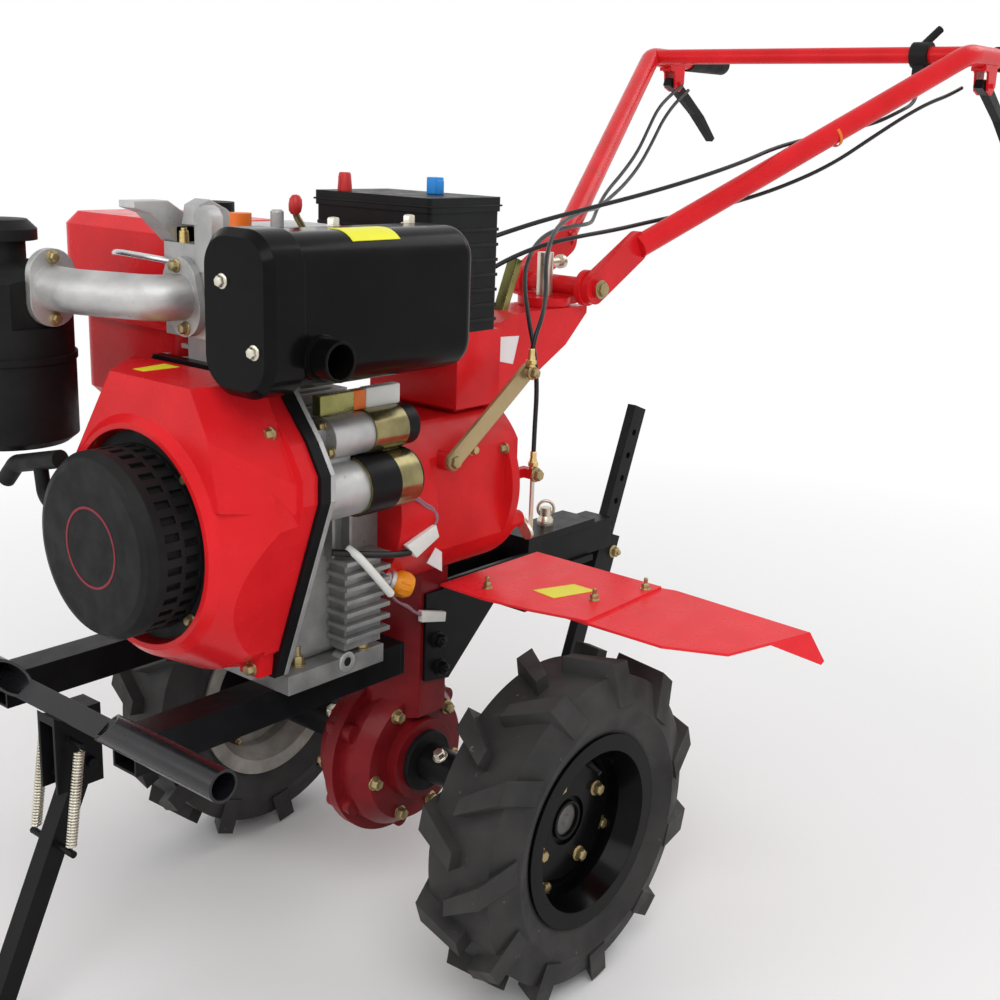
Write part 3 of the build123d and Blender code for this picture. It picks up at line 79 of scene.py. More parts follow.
# Sizes of the small pieces
DISC_BOLT_CIRCLE = 57.5
RIM_BOLT_CIRCLE = 82.5
COVER_BOLT_CIRCLE = 76
BACK_BOLT_CIRCLE = 88
FLANGE_BOLT_CIRCLE = 105.2
THIN_PLATE = 0.5
SHEATH_RADIUS = 0.004
SLEEVE_RADIUS = 0.0048
WIRE_RADIUS = 0.0015
PIPE_RADIUS = 0.0035
STEM_RADIUS = 0.0036
COIL_RADIUS = 0.0050
COIL_WIRE = 0.0013
COIL_TURNS = 32
RING_RADIUS = 0.0115
RING_WIRE = 0.0024
BATTERY_RIBS = 7
RIB_PITCH = 18
RIB_START = 768

# Camera
CAMERA_PLACE = (1180.8, 1150.5, 993.9)
CAMERA_YAW = 39.67
CAMERA_PITCH = 15.21
CAMERA_ROLL = 2.03
CAMERA_LENS = 49.0

# Light: name, place, size and power of each lamp; the sky as it lights and as it is seen;
# and the distances between which the floor fades to white
LAMPS = (
    ("key", (2.4, 2.2, 3.4), 2.4, 62),
    ("front", (3.6, -1.6, 2.0), 2.0, 26),
    ("back", (-3.0, 1.0, 3.2), 2.0, 30),
)
SKY_STRENGTH = 0.62
SKY_SEEN_STRENGTH = 1.0
FADE_START = 0.9
FADE_END = 2.4

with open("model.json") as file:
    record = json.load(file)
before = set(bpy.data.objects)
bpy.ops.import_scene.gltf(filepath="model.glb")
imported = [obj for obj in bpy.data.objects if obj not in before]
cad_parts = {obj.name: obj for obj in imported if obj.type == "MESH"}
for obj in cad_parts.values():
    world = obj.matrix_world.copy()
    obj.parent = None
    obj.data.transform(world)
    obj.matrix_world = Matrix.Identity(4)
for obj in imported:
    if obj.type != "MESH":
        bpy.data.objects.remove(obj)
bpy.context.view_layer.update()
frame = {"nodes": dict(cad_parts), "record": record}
NODES = frame["nodes"]


def place(x, y, z):
    return Vector(((x + AXLE_X) / 1000, y / 1000, z / 1000))


def make_camera():
    yaw = math.radians(CAMERA_YAW)
    pitch = math.radians(CAMERA_PITCH)
    roll = math.radians(CAMERA_ROLL)
    ahead = Vector((-math.cos(yaw) * math.cos(pitch), -math.sin(yaw) * math.cos(pitch), -math.sin(pitch)))
    side = ahead.cross(Vector((0, 0, 1))).normalized()
    over = side.cross(ahead)
    right = side * math.cos(roll) + over * math.sin(roll)
    up = over * math.cos(roll) - side * math.sin(roll)
    data = bpy.data.cameras.new("camera")
    data.lens = CAMERA_LENS
    data.sensor_width = 36.0
    data.dof.use_dof = False
    camera = bpy.data.objects.new("camera", data)
    turn = Matrix((right, up, -ahead)).transposed().to_4x4()
    camera.matrix_world = Matrix.Translation(place(*CAMERA_PLACE)) @ turn
    bpy.context.scene.collection.objects.link(camera)
    bpy.context.scene.camera = camera


# Mesh helpers


def add_piece(name, mesh, material, body, smooth=40):
    obj = bpy.data.objects.new(name, mesh)
    bpy.context.scene.collection.objects.link(obj)
    mesh.materials.clear()
    mesh.materials.append(material)
    if smooth:
        mesh.polygons.foreach_set("use_smooth", [True] * len(mesh.polygons))
        mesh.set_sharp_from_angle(angle=math.radians(smooth))
    if body:
        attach(obj, body)
    return obj


def mesh_from(bm, name):
    bmesh.ops.recalc_face_normals(bm, faces=bm.faces)
    mesh = bpy.data.meshes.new(name)
    bm.to_mesh(mesh)
    bm.free()
    return mesh


def route_points(route):
    data = bpy.data.curves.new("route", "CURVE")
    data.dimensions = "3D"
    data.resolution_u = 6
    spline = data.splines.new("NURBS")
    spline.points.add(len(route) - 1)
    for point, place_of in zip(spline.points, route):
        point.co = (*place(*place_of), 1)
    spline.order_u = 3
    spline.use_endpoint_u = True
    obj = bpy.data.objects.new("route", data)
    mesh = bpy.data.meshes.new_from_object(obj)
    points = [vertex.co.copy() for vertex in mesh.vertices]
    bpy.data.objects.remove(obj)
    bpy.data.curves.remove(data)
    bpy.data.meshes.remove(mesh)
    return points


def add_tube(bm, points, radius, sides=10):
    ahead = (points[1] - points[0]).normalized()
    across = ahead.orthogonal().normalized()
    rings = []
    for index, point in enumerate(points):
        before = points[max(index - 1, 0)]
        after = points[min(index + 1, len(points) - 1)]
        heading = (after - before).normalized()
        across = (across - heading * across.dot(heading)).normalized()
        other = heading.cross(across)
        ring = []
        for step in range(sides):
            angle = 2 * math.pi * step / sides
            ring.append(bm.verts.new(point + (across * math.cos(angle) + other * math.sin(angle)) * radius))
        rings.append(ring)
    for first, second in zip(rings, rings[1:]):
        for step in range(sides):
            nxt = (step + 1) % sides
            bm.faces.new((first[step], first[nxt], second[nxt], second[step]))
    bm.faces.new(list(reversed(rings[0])))
    bm.faces.new(rings[-1])


def add_lathe(bm, profile, start, axis, sides=32):
    # profile holds (radius, distance along the axis) in millimetres; a radius of 0 closes the end
    axis = Vector(axis).normalized()
    across = axis.orthogonal().normalized()
    other = axis.cross(across)
    base = place(*start)
    rings = []
    for radius, along in profile:
        centre = base + axis * along / 1000
        if radius <= 0:
            rings.append([bm.verts.new(centre)])
            continue
        ring = []
        for step in range(sides):
            angle = 2 * math.pi * step / sides
            out = across * math.cos(angle) + other * math.sin(angle)
            ring.append(bm.verts.new(centre + out * radius / 1000))
        rings.append(ring)
    for first, second in zip(rings, rings[1:]):
        for step in range(sides):
            nxt = (step + 1) % sides
            if len(first) == 1:
                bm.faces.new((first[0], second[nxt], second[step]))
            elif len(second) == 1:
                bm.faces.new((first[step], first[nxt], second[0]))
            else:
                bm.faces.new((first[step], first[nxt], second[nxt], second[step]))
    return rings


def add_bolt(bm, start, axis, flats=13, head=6, washer=1.4, turn=0.0):
    # a hexagon head on a washer; start is the centre of the seat
    radius = flats / math.sqrt(3)
    wide = radius * 1.3
    disc = [(0, -0.6), (wide, -0.6), (wide, washer - 0.3), (radius * 1.22, washer), (0, washer)]
    add_lathe(bm, disc, start, axis, 20)
    axis = Vector(axis).normalized()
    across = axis.orthogonal().normalized()
    other = axis.cross(across)
    base = place(*start)
    rings = []
    top = head + washer
    for grow, along in ((1.0, washer), (1.0, top - 1.2), (0.86, top), (0.45, top + 0.4)):
        ring = []
        for step in range(6):
            angle = math.radians(60 * step) + turn
            out = across * math.cos(angle) + other * math.sin(angle)
            ring.append(bm.verts.new(base + axis * along / 1000 + out * radius * grow / 1000))
        rings.append(ring)
    for first, second in zip(rings, rings[1:]):
        for step in range(6):
            nxt = (step + 1) % 6
            bm.faces.new((first[step], first[nxt], second[nxt], second[step]))
    bm.faces.new(rings[-1])


def add_box(bm, low, high, bevel=1.0):
    # a block between two corners, with bevelled edges
    a = place(*low)
    b = place(*high)
    made = bmesh.ops.create_cube(bm, size=1.0)
    centre = (a + b) / 2
    size = b - a
    for vertex in made["verts"]:
        vertex.co = Vector((vertex.co.x * abs(size.x), vertex.co.y * abs(size.y), vertex.co.z * abs(size.z)))
        vertex.co += centre
    edges = {edge for vertex in made["verts"] for edge in vertex.link_edges}
    bmesh.ops.bevel(bm, geom=list(edges), offset=bevel / 1000, segments=2, profile=0.6, affect="EDGES")


def shut_lathe(bm, profile, start, axis, sides=48):
    # a ring whose profile closes on itself
    rings = add_lathe(bm, profile, start, axis, sides)
    for step in range(sides):
        nxt = (step + 1) % sides
        bm.faces.new((rings[-1][step], rings[-1][nxt], rings[0][nxt], rings[0][step]))


def add_stud(bm, start, axis, flats, head, length, turn=0.0):
    # a nut on a washer with its stud standing out
    add_bolt(bm, start, axis, flats, head, turn=turn)
    radius = flats * 0.3
    end = head + length
    profile = [(0, head), (radius, head), (radius, end - 1), (radius - 1, end), (0, end)]
    add_lathe(bm, profile, start, axis, 12)


def add_slab(bm, corners, thickness):
    # a flat plate on corners given in order, thickened by the vector in millimetres
    lift = Vector(thickness) / 1000
    low = [bm.verts.new(place(*corner)) for corner in corners]
    high = [bm.verts.new(place(*corner) + lift) for corner in corners]
    bm.faces.new(low)
    bm.faces.new(list(reversed(high)))
    for index in range(len(corners)):
        nxt = (index + 1) % len(corners)
        bm.faces.new((low[index], low[nxt], high[nxt], high[index]))


def around(radius, angles, x=None, y=None, centre_z=CRANK_Z):
    # places on a circle in the plane across X or across Y
    rows = []
    for angle in angles:
        along = radius * math.cos(math.radians(angle))
        up = centre_z + radius * math.sin(math.radians(angle))
        rows.append((x, along, up) if y is None else (along, y, up))
    return rows


def make_one(name, material, body, build, smooth=40):
    bm = bmesh.new()
    build(bm)
    return add_piece(name, mesh_from(bm, name), material, body, smooth)


# Materials


def new_material(name):
    material = bpy.data.materials.new(name)
    material.use_nodes = True
    tree = material.node_tree
    tree.nodes.clear()
    output = tree.nodes.new("ShaderNodeOutputMaterial")
    shader = tree.nodes.new("ShaderNodeBsdfPrincipled")
    tree.links.new(shader.outputs[0], output.inputs[0])
    return material, tree, shader


def noise(tree, scale, detail=4.0, rough=0.55):
    coords = tree.nodes.new("ShaderNodeTexCoord")
    node = tree.nodes.new("ShaderNodeTexNoise")
    node.inputs["Scale"].default_value = scale
    node.inputs["Detail"].default_value = detail
    node.inputs["Roughness"].default_value = rough
    tree.links.new(coords.outputs["Object"], node.inputs["Vector"])
    return node.outputs[0]


def span(tree, value, low, high, start=0.35, end=0.65):
    node = tree.nodes.new("ShaderNodeMapRange")
    node.inputs["From Min"].default_value = start
    node.inputs["From Max"].default_value = end
    node.inputs["To Min"].default_value = low
    node.inputs["To Max"].default_value = high
    tree.links.new(value, node.inputs["Value"])
    return node.outputs[0]


def mixed(tree, factor, first, second):
    node = tree.nodes.new("ShaderNodeMix")
    node.data_type = "RGBA"
    tree.links.new(factor, node.inputs[0])
    for socket, value in ((node.inputs[6], first), (node.inputs[7], second)):
        if isinstance(value, tuple):
            socket.default_value = (*value, 1)
        else:
            tree.links.new(value, socket)
    return node.outputs[2]


def surface(name, light, dark, rough, metal=0.0, coat=0.0, scale=14.0, grain=900.0, depth=0.15,
            edge=0.0015, wear=None, wear_amount=0.0, shine=0.5):
    # two tones of a colour, uneven gloss, a fine bump, rounded edges and a little wear
    material, tree, shader = new_material(name)
    broad = noise(tree, scale)
    colour = mixed(tree, span(tree, broad, 0, 1), light, dark)
    if wear:
        patches = span(tree, noise(tree, 70.0, 8.0, 0.7), 0, 1, 0.70 - wear_amount, 0.74 - wear_amount)
        colour = mixed(tree, patches, colour, wear)
    tree.links.new(colour, shader.inputs["Base Color"])
    gloss = span(tree, noise(tree, scale * 3), rough * 0.85, min(rough * 1.2, 1.0))
    tree.links.new(gloss, shader.inputs["Roughness"])
    shader.inputs["Metallic"].default_value = metal
    shader.inputs["Specular IOR Level"].default_value = shine
    shader.inputs["Coat Weight"].default_value = coat
    shader.inputs["Coat Roughness"].default_value = 0.12
    bevel = tree.nodes.new("ShaderNodeBevel")
    bevel.samples = 4
    bevel.inputs["Radius"].default_value = edge
    bump = tree.nodes.new("ShaderNodeBump")
    bump.inputs["Strength"].default_value = depth
    bump.inputs["Distance"].default_value = 0.0006
    tree.links.new(noise(tree, grain, 3.0), bump.inputs["Height"])
    tree.links.new(bevel.outputs[0], bump.inputs["Normal"])
    tree.links.new(bump.outputs[0], shader.inputs["Normal"])
    return material


RED = surface("gloss_red", (0.72, 0.016, 0.022), (0.62, 0.012, 0.016), 0.24,
              coat=0.04, depth=0.08, grain=260, shine=0.12)
FENDER_RED = surface("fender_red", (0.88, 0.030, 0.040), (0.80, 0.024, 0.032), 0.3,
                     coat=0.02, depth=0.08, grain=260, shine=0.08)
CAST_RED = surface("cast_red", (0.66, 0.014, 0.017), (0.54, 0.010, 0.013), 0.34,
                   coat=0.03, depth=0.4, grain=420, shine=0.12)
# Red of the final drive case, darkened as painted shade: the case stands in shade, so its paint is written
# much darker than the gearbox red
SHADE_DARKENED_RED = surface("dark_red", (0.24, 0.012, 0.016), (0.15, 0.007, 0.010), 0.36,
                   coat=0.05, depth=0.5, grain=380, shine=0.12)
BLACK = surface("satin_black", (0.008, 0.008, 0.009), (0.005, 0.005, 0.006), 0.34,
                depth=0.2, grain=500, shine=0.1)
FRAME_BLACK = surface("frame_black", (0.012, 0.012, 0.014), (0.008, 0.008, 0.010), 0.26,
                      coat=0.12, depth=0.1, grain=300, shine=0.3)
GLOSS_BLACK = surface("gloss_black", (0.004, 0.004, 0.004), (0.002, 0.002, 0.002), 0.2,
                      coat=0.05, depth=0.05, grain=200, shine=0.06)
MATT_BLACK = surface("matt_black", (0.012, 0.012, 0.012), (0.007, 0.007, 0.008), 0.55,
                     depth=0.3, grain=900, shine=0.14)
DULL_ALUMINIUM = surface("dull_aluminium", (0.40, 0.39, 0.38), (0.22, 0.22, 0.22), 0.5,
                         metal=0.6, depth=0.5, grain=600, wear=(0.14, 0.14, 0.14), wear_amount=0.06)
ALUMINIUM = surface("cast_aluminium", (0.56, 0.55, 0.54), (0.36, 0.36, 0.36), 0.45,
                    metal=0.7, depth=0.5, grain=700, wear=(0.22, 0.22, 0.22), wear_amount=0.05)
ZINC = surface("zinc", (0.70, 0.66, 0.56), (0.50, 0.46, 0.36), 0.32,
               metal=0.9, depth=0.15, grain=900)
STEEL = surface("bright_steel", (0.70, 0.70, 0.70), (0.52, 0.52, 0.53), 0.25,
                metal=1.0, depth=0.1, grain=900)
GOLD = surface("yellow_zinc", (0.46, 0.36, 0.17), (0.28, 0.22, 0.11), 0.34,
               metal=0.8, depth=0.15, grain=800)
STARTER_GOLD = surface("starter_gold", (0.30, 0.25, 0.12), (0.17, 0.15, 0.07), 0.2,
                       metal=0.9, depth=0.05, grain=800, scale=30)
LEVER_GOLD = surface("lever_gold", (0.40, 0.30, 0.15), (0.30, 0.22, 0.11), 0.34,
                     metal=0.6, depth=0.08, grain=500)
OLIVE = surface("olive_zinc", (0.30, 0.28, 0.10), (0.20, 0.19, 0.06), 0.30,
                metal=0.8, depth=0.12, grain=800, scale=26)
BRASS = surface("brass", (0.80, 0.62, 0.28), (0.62, 0.46, 0.18), 0.3,
                metal=0.95, depth=0.1, grain=800)
RUBBER = surface("tyre_rubber", (0.046, 0.044, 0.043), (0.022, 0.021, 0.021), 0.62,
                 depth=0.4, grain=1200, scale=9, wear=(0.10, 0.095, 0.088), wear_amount=0.05, shine=0.2)
CABLE = surface("cable_black", (0.011, 0.011, 0.012), (0.007, 0.007, 0.008), 0.36,
                depth=0.1, grain=900, shine=0.3)
ORANGE = surface("orange_plastic", (0.86, 0.20, 0.02), (0.74, 0.15, 0.015), 0.35,
                 depth=0.1, grain=900, shine=0.3)
AMBER = surface("amber_plastic", (0.80, 0.27, 0.01), (0.66, 0.20, 0.01), 0.35,
                depth=0.1, grain=900, shine=0.3)
RED_PLASTIC = surface("red_plastic", (0.60, 0.03, 0.03), (0.48, 0.02, 0.02), 0.4,
                      depth=0.1, grain=900, shine=0.3)
BLUE_PLASTIC = surface("blue_plastic", (0.03, 0.30, 0.80), (0.02, 0.24, 0.70), 0.4,
                       depth=0.1, grain=900, shine=0.3)
BATTERY = surface("battery_case", (0.009, 0.010, 0.010), (0.006, 0.006, 0.007), 0.4,
                  depth=0.25, grain=1500, shine=0.12)
WHITE_PLASTIC = surface("white_plastic", (0.80, 0.80, 0.76), (0.70, 0.70, 0.66), 0.45,
                        depth=0.1, grain=900, shine=0.3)
WHITE_PLATE = surface("white_plate", (0.82, 0.80, 0.80), (0.76, 0.73, 0.74), 0.4,
                      depth=0.05, grain=900, shine=0.3)
YELLOW_PLATE = surface("yellow_plate", (0.86, 0.84, 0.03), (0.80, 0.78, 0.025), 0.4,
                       depth=0.05, grain=900, shine=0.3)
RING_RED = surface("ring_red", (0.26, 0.02, 0.035), (0.20, 0.016, 0.03), 0.45,
                   depth=0.1, grain=900, shine=0.2)
PALE_WIRE = surface("pale_wire", (0.34, 0.16, 0.20), (0.24, 0.12, 0.16), 0.45,
                    depth=0.1, grain=900, shine=0.2)
DUSTY = surface("dusty_rim", (0.40, 0.38, 0.34), (0.20, 0.19, 0.17), 0.6,
                depth=0.3, grain=500, scale=20, shine=0.3)
HUB_END = surface("dull_hub_end", (0.16, 0.155, 0.15), (0.09, 0.088, 0.085), 0.5,
                  metal=0.5, depth=0.3, grain=700)

NODE_LOOKS = {
    "bright_red": RED,
    "dark_red": SHADE_DARKENED_RED,
    "black_steel": BLACK,
    "rim_black": GLOSS_BLACK,
    "cast_aluminium": ALUMINIUM,
    "zinc": ZINC,
    "black_plastic": MATT_BLACK,
    "orange_plastic": ORANGE,
    "rubber": MATT_BLACK,
    "red_plastic": RED_PLASTIC,
    "battery_case": BATTERY,
    "starter_gold": STARTER_GOLD,
    "tyre": RUBBER,
    "cable": CABLE,
}
SPECIAL_LOOKS = {
    "gearbox": CAST_RED,
    "muffler": GLOSS_BLACK,
    "rim_right": DUSTY,
    "recoil_starter": MATT_BLACK,
    "recoil_handle": MATT_BLACK,
    "blower_plate": BLACK,
    "fenders": FENDER_RED,
    "bumper": FRAME_BLACK,
    "crankcase": DULL_ALUMINIUM,
    "finned_cover": DULL_ALUMINIUM,
    "shift_lever": LEVER_GOLD,
}


def dress_nodes():
    slots = {row["node"]: row["material_slot"] for row in frame["record"]["subparts"]}
    for name, obj in NODES.items():
        look = SPECIAL_LOOKS.get(name, NODE_LOOKS[slots[name]])
        if not obj.material_slots:
            obj.data.materials.append(look)
        for slot in obj.material_slots:
            slot.material = look


# Control cables, the same routes as the solids
CABLE_RADIUS = 3.0
CABLES = {
    "throttle_cable": [
        (-934, 214, 1093.7), (-934, 214, 1070), (-908, 220, 1054), (-858, 224, 1042), (-812, 206, 1022),
        (-752, 180, 1010), (-690, 160, 996), (-620, 146, 982), (-548, 140, 962), (-456, 120, 938),
        (-376, 88, 916), (-300, 58, 898), (-226, 36, 882), (-168, 12, 864), (-134, -34, 842),
        (-124, -92, 812), (-104, -138, 776), (-52, -150, 734), (4, -148, 690), (46, -136, 646),
        (74, -122, 612), (105.7, -122, 612),
    ],
    "left_clutch_cable": [
        (-994, 260, 1082), (-960, 256, 1070), (-908, 248, 1057), (-852, 237, 1036), (-790, 218, 1004),
        (-714, 190, 960), (-640, 150, 926), (-572, 112, 903), (-512, 80, 888), (-446, 56, 876),
        (-380, 44, 866), (-310, 34, 859), (-250, 20, 849), (-196, -2, 828), (-160, -40, 792),
        (-142, -80, 744), (-124, -104, 692), (-103, -112, 646), (-103, -112, 602.6),
    ],
    "main_clutch_cable": [
        (-994, -260, 1082), (-958, -258, 1066), (-906, -250, 1040), (-856, -234, 1004), (-802, -216, 966),
        (-736, -198, 932), (-660, -176, 902), (-582, -136, 878), (-508, -88, 866), (-440, -46, 866),
        (-374, -30, 866), (-308, -18, 860), (-246, 4, 840), (-200, 32, 810), (-168, 66, 772),
        (-150, 94, 730), (-144, 106, 684), (-142, 106, 632), (-142, 106, 578.4),
    ],
    "right_clutch_cable": [
        (-994, -246, 1074), (-958, -244, 1056), (-904, -236, 1022), (-850, -220, 982), (-790, -202, 944),
        (-718, -180, 914), (-640, -156, 892), (-560, -116, 884), (-484, -66, 886), (-408, -28, 888),
        (-332, -2, 880), (-262, 30, 868), (-206, 62, 838), (-172, 92, 798), (-136, 116, 774),
        (-112, 121, 744), (-111, 121, 714.8),
    ],
}
YOKE_SPLIT_X = -298.0


def cable_half(name, points):
    bm = bmesh.new()
    add_tube(bm, points, CABLE_RADIUS / 1000, 8)
    half = add_piece(name, mesh_from(bm, name), CABLE, None, 60)
    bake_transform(half)
    return half


def make_cables():
    split = place(YOKE_SPLIT_X, 0, 0).x
    for name, route in CABLES.items():
        points = route_points(route)
        cut = next(index for index, point in enumerate(points) if point.x > split)
        upper = points[:cut + 1]
        lower = list(reversed(points[cut:]))
        rear = cable_half(name + "_upper", list(reversed(upper)))
        front = cable_half(name + "_lower", lower)
        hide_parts(name)
        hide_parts(name)


# Small pieces


def make_wheel_pieces(side, name):
    body = "wheel_" + name
    out = (0, side, 0)
    face = side * WHEEL_FACE
    ring_face = face - side * RIM_RING_DEPTH

    def disc_bolts(bm):
        places = around(DISC_BOLT_CIRCLE, (66, 156, 246, 336), y=face, centre_z=AXLE_Z)
        for index, start in enumerate(places):
            add_bolt(bm, start, out, 13, 8, turn=index)

    def rim_bolts(bm):
        places = around(RIM_BOLT_CIRCLE, (24, 114, 204, 294), y=ring_face, centre_z=AXLE_Z)
        for index, start in enumerate(places):
            add_bolt(bm, start, out, 12, 6, turn=index)
            back = (start[0], start[1] - side * RIM_RING_DEPTH, start[2])
            add_stud(bm, back, (0, -side, 0), 12, 7, 5, turn=index)

    def hub_end(bm):
        profile = [(0, -1), (19.5, -1), (19.5, 1.5), (16, 2.5), (7, 2.5), (5, 0.8), (0, 0.8)]
        add_lathe(bm, profile, (0, ring_face, AXLE_Z), out, 32)

    def cross_bolt(bm):
        lean = Vector((0.5, 0, 0.866))
        where = Vector((0, side * 98, AXLE_Z))
        add_bolt(bm, where + lean * 23.5, lean, 13, 8)
        add_stud(bm, where - lean * 23.5, -lean, 13, 8, 6)

    def valve(bm):
        profile = [(0, 0), (4.6, 0), (4.2, 14), (3.0, 16), (3.0, 28), (0, 28)]
        add_lathe(bm, profile, (0, side * (TRACK / 2 + 24), AXLE_Z + 86), (0, side, -0.4), 14)

    make_one("disc_bolts_" + name, GOLD, body, disc_bolts)
    make_one("rim_bolts_" + name, GOLD, body, rim_bolts)
    make_one("hub_end_" + name, HUB_END, body, hub_end)
    make_one("hub_cross_bolt_" + name, ZINC, body, cross_bolt)
    make_one("tyre_valve_" + name, MATT_BLACK, body, valve)


def make_drive_pieces():
    def cover_bolts(bm):
        for side in (-1, 1):
            angles = (61, -9, -68, 138, 198, 248)
            places = around(COVER_BOLT_CIRCLE, angles, y=side * COVER_FACE, centre_z=AXLE_Z)
            for index, start in enumerate(places):
                add_bolt(bm, start, (0, side, 0), 13, 8, turn=index)

    def seals(bm):
        for side in (-1, 1):
            profile = [(38.0, 0), (39.8, 0), (39.8, 7.2), (38.8, 8.1), (16, 8.1), (16, 7.2), (38.0, 7.2)]
            shut_lathe(bm, profile, (0, side * BOSS_FACE, AXLE_Z), (0, side, 0))

    def plate_bolts(bm):
        for side in (-1, 1):
            for x, z in ((-17, 368), (-24, 329)):
                add_stud(bm, (x, side * PLATE_FACE, z), (0, side, 0), 15, 9, 4, turn=x)

    def fender_bolts(bm):
        for side in (-1, 1):
            for x, y in ((-49, 115), (-109, 236), (-189, 257)):
                add_stud(bm, (x, side * y, 442.8), (0, 0, 1), 9, 6, 9, turn=y)
                add_bolt(bm, (x, side * y, 436.8), (0, 0, -1), 9, 6, turn=y)

    def yellow(bm):
        outline = [(-82, 161), (-138, 183), (-137.5, 218), (-77, 198)]
        add_slab(bm, [(x, y, FENDER_TOP) for x, y in outline], (0, 0, THIN_PLATE))

    make_one("cover_bolts", GOLD, "chassis", cover_bolts)
    make_one("hub_seals", MATT_BLACK, "chassis", seals, 30)
    make_one("support_plate_bolts", BLACK, "chassis", plate_bolts)
    make_one("fender_bolts", GOLD, "chassis", fender_bolts)
    make_one("fender_blank_plate", YELLOW_PLATE, "chassis", yellow, 0)


def make_gearbox_pieces():
    def case_bolts(bm):
        add_bolt(bm, (-92, GEARBOX_SIDE, 612), (1, 0, 0), 10, 8)
        add_bolt(bm, (-30, GEARBOX_SIDE, 620), (0, 1, 0), 10, 7)
        angles = (30, 90, 150, 210, 270, 330)
        places = around(BACK_BOLT_CIRCLE, angles, x=GEARBOX_BACK, centre_z=GEARBOX_AXIS)
        for index, start in enumerate(places):
            add_bolt(bm, start, (-1, 0, 0), 13, 7, turn=index)

    def lever_nuts(bm):
        add_stud(bm, (-111, 123.5, 708), (0, 1, 0), 12, 7, 3)
        add_bolt(bm, (21, 117, 616), (0, 1, 0), 14, 5)
        add_bolt(bm, (-141, 112, 572), (0, 1, 0), 13, 7)

    def ferrules(bm):
        ends = (
            ((105.7, -122, 612), (-1, 0, 0)), ((-103, -112, 602.6), (0, 0, 1)),
            ((-111, 121, 714.8), (0, 0, 1)), ((-142, 106, 578.4), (0, 0, 1)),
        )
        for start, axis in ends:
            add_lathe(bm, [(3.1, 0), (5, 0), (5, 12), (4.2, 14), (4.2, 22), (3.1, 23)], start, axis, 16)
            nut = Vector(start) + Vector(axis) * 4
            add_lathe(bm, [(3.3, 0), (7.2, 0), (7.2, 5), (3.3, 5)], nut, axis, 6)

    def tag(bm):
        outline = [(31, 509), (19.5, 501), (18.6, 476), (46, 493)]
        add_slab(bm, [(x, GEARBOX_SIDE, z) for x, z in outline], (0, 0.6, 0))

    def label(bm):
        outline = [(-145, 739), (-185, 737), (-174, 701), (-143, 708)]
        add_slab(bm, [(x, COLUMN_SIDE, z) for x, z in outline], (0, THIN_PLATE, 0))

    def strap(bm):
        outline = [(-188, 765.5), (-199, 765.5), (-226, 828), (-216, 832)]
        add_slab(bm, [(x, -8, z) for x, z in outline], (0, 16, 0))

    make_one("gearbox_bolts", GOLD, "chassis", case_bolts)
    make_one("lever_nuts", GOLD, "chassis", lever_nuts)
    make_one("cable_ferrules", BRASS, "chassis", ferrules)
    make_one("white_tag", WHITE_PLATE, "chassis", tag, 0)
    make_one("column_blank_plate", WHITE_PLATE, "chassis", label, 0)
    make_one("column_stay", OLIVE, "chassis", strap, 0)


def make_engine_pieces():
    def flange_bolts(bm):
        for index, start in enumerate(around(FLANGE_BOLT_CIRCLE, (45, 135, 225, 315), x=FLANGE_FACE)):
            add_bolt(bm, start, (1, 0, 0), 9, 6, turn=index)
        add_bolt(bm, (306, 124, 692.5), (1, 0, 0), 11, 7)
        add_bolt(bm, (298, 80, 426), (1, 0, 0), 11, 7, turn=1)
        add_bolt(bm, (298, -80, 426), (1, 0, 0), 11, 7, turn=2)

    def foot_studs(bm):
        for x, y in ((228, 74), (140, 86), (228, -205), (140, -205)):
            add_stud(bm, (x, y, FOOT_TOP), (0, 0, 1), 13, 10, 13, turn=x)

    def shroud_lugs(bm):
        for side in (-1, 1):
            outline = [(60, -140), (97, -112), (91, -156), (60, -156)]
            add_slab(bm, [(279.3, side * y, CRANK_Z + z) for y, z in outline], (18.5, 0, 0))

    def ring(bm):
        profile = [(40.2, -0.2), (43.0, -0.2), (43.0, 0.35), (40.2, 0.35)]
        shut_lathe(bm, profile, (DISC_FACE, 0, CRANK_Z), (1, 0, 0), 64)

    def tower_plate(bm):
        outline = [(308, -44), (352, -38), (352, -20), (308, -18)]
        add_slab(bm, [(x, y, TOWER_TOP) for x, y in outline], (0, 0, 0.4))

    def foot_boss(bm):
        profile = [(5.5, 0), (12, 0), (12, 15.5), (11, 16.3), (5.5, 16.3)]
        shut_lathe(bm, profile, (171.6, 80, 402), (0, 1, 0), 24)

    # a thin matt black disc just inside the mouth of the boss's bore: painted shade for the dark depth of
    # the hole
    def foot_bore_shade(bm):
        add_lathe(bm, [(0, 0), (5.4, 0), (5.4, 1), (0, 1)], (171.6, 95.1, 402), (0, 1, 0), 24)

    def plate_edge(bm):
        points = [(104, 168), (150, 110), (169, 78), (169, 50), (95, -160)]
        for side in (-1, 1):
            for (y0, z0), (y1, z1) in zip(points, points[1:]):
                corners = [(260, side * (y + 0.6), CRANK_Z + z) for y, z in ((y0, z0), (y1, z1))]
                corners += [(265.8, side * (y + 0.6), CRANK_Z + z) for y, z in ((y1, z1), (y0, z0))]
                add_slab(bm, corners, (0, -side * 9, 0))

    make_one("shroud_bolts", GOLD, "chassis", flange_bolts)
    make_one("foot_studs", GOLD, "chassis", foot_studs)
    make_one("shroud_corner_lugs", RED, "chassis", shroud_lugs, 30)
    make_one("recoil_ring", RING_RED, "chassis", ring, 30)
    make_one("tower_blank_plate", YELLOW_PLATE, "chassis", tower_plate, 0)
    make_one("foot_boss", ALUMINIUM, "chassis", foot_boss)
    make_one("foot_bore_shade", MATT_BLACK, "chassis", foot_bore_shade)
    make_one("backplate_edge", ALUMINIUM, "chassis", plate_edge, 0)


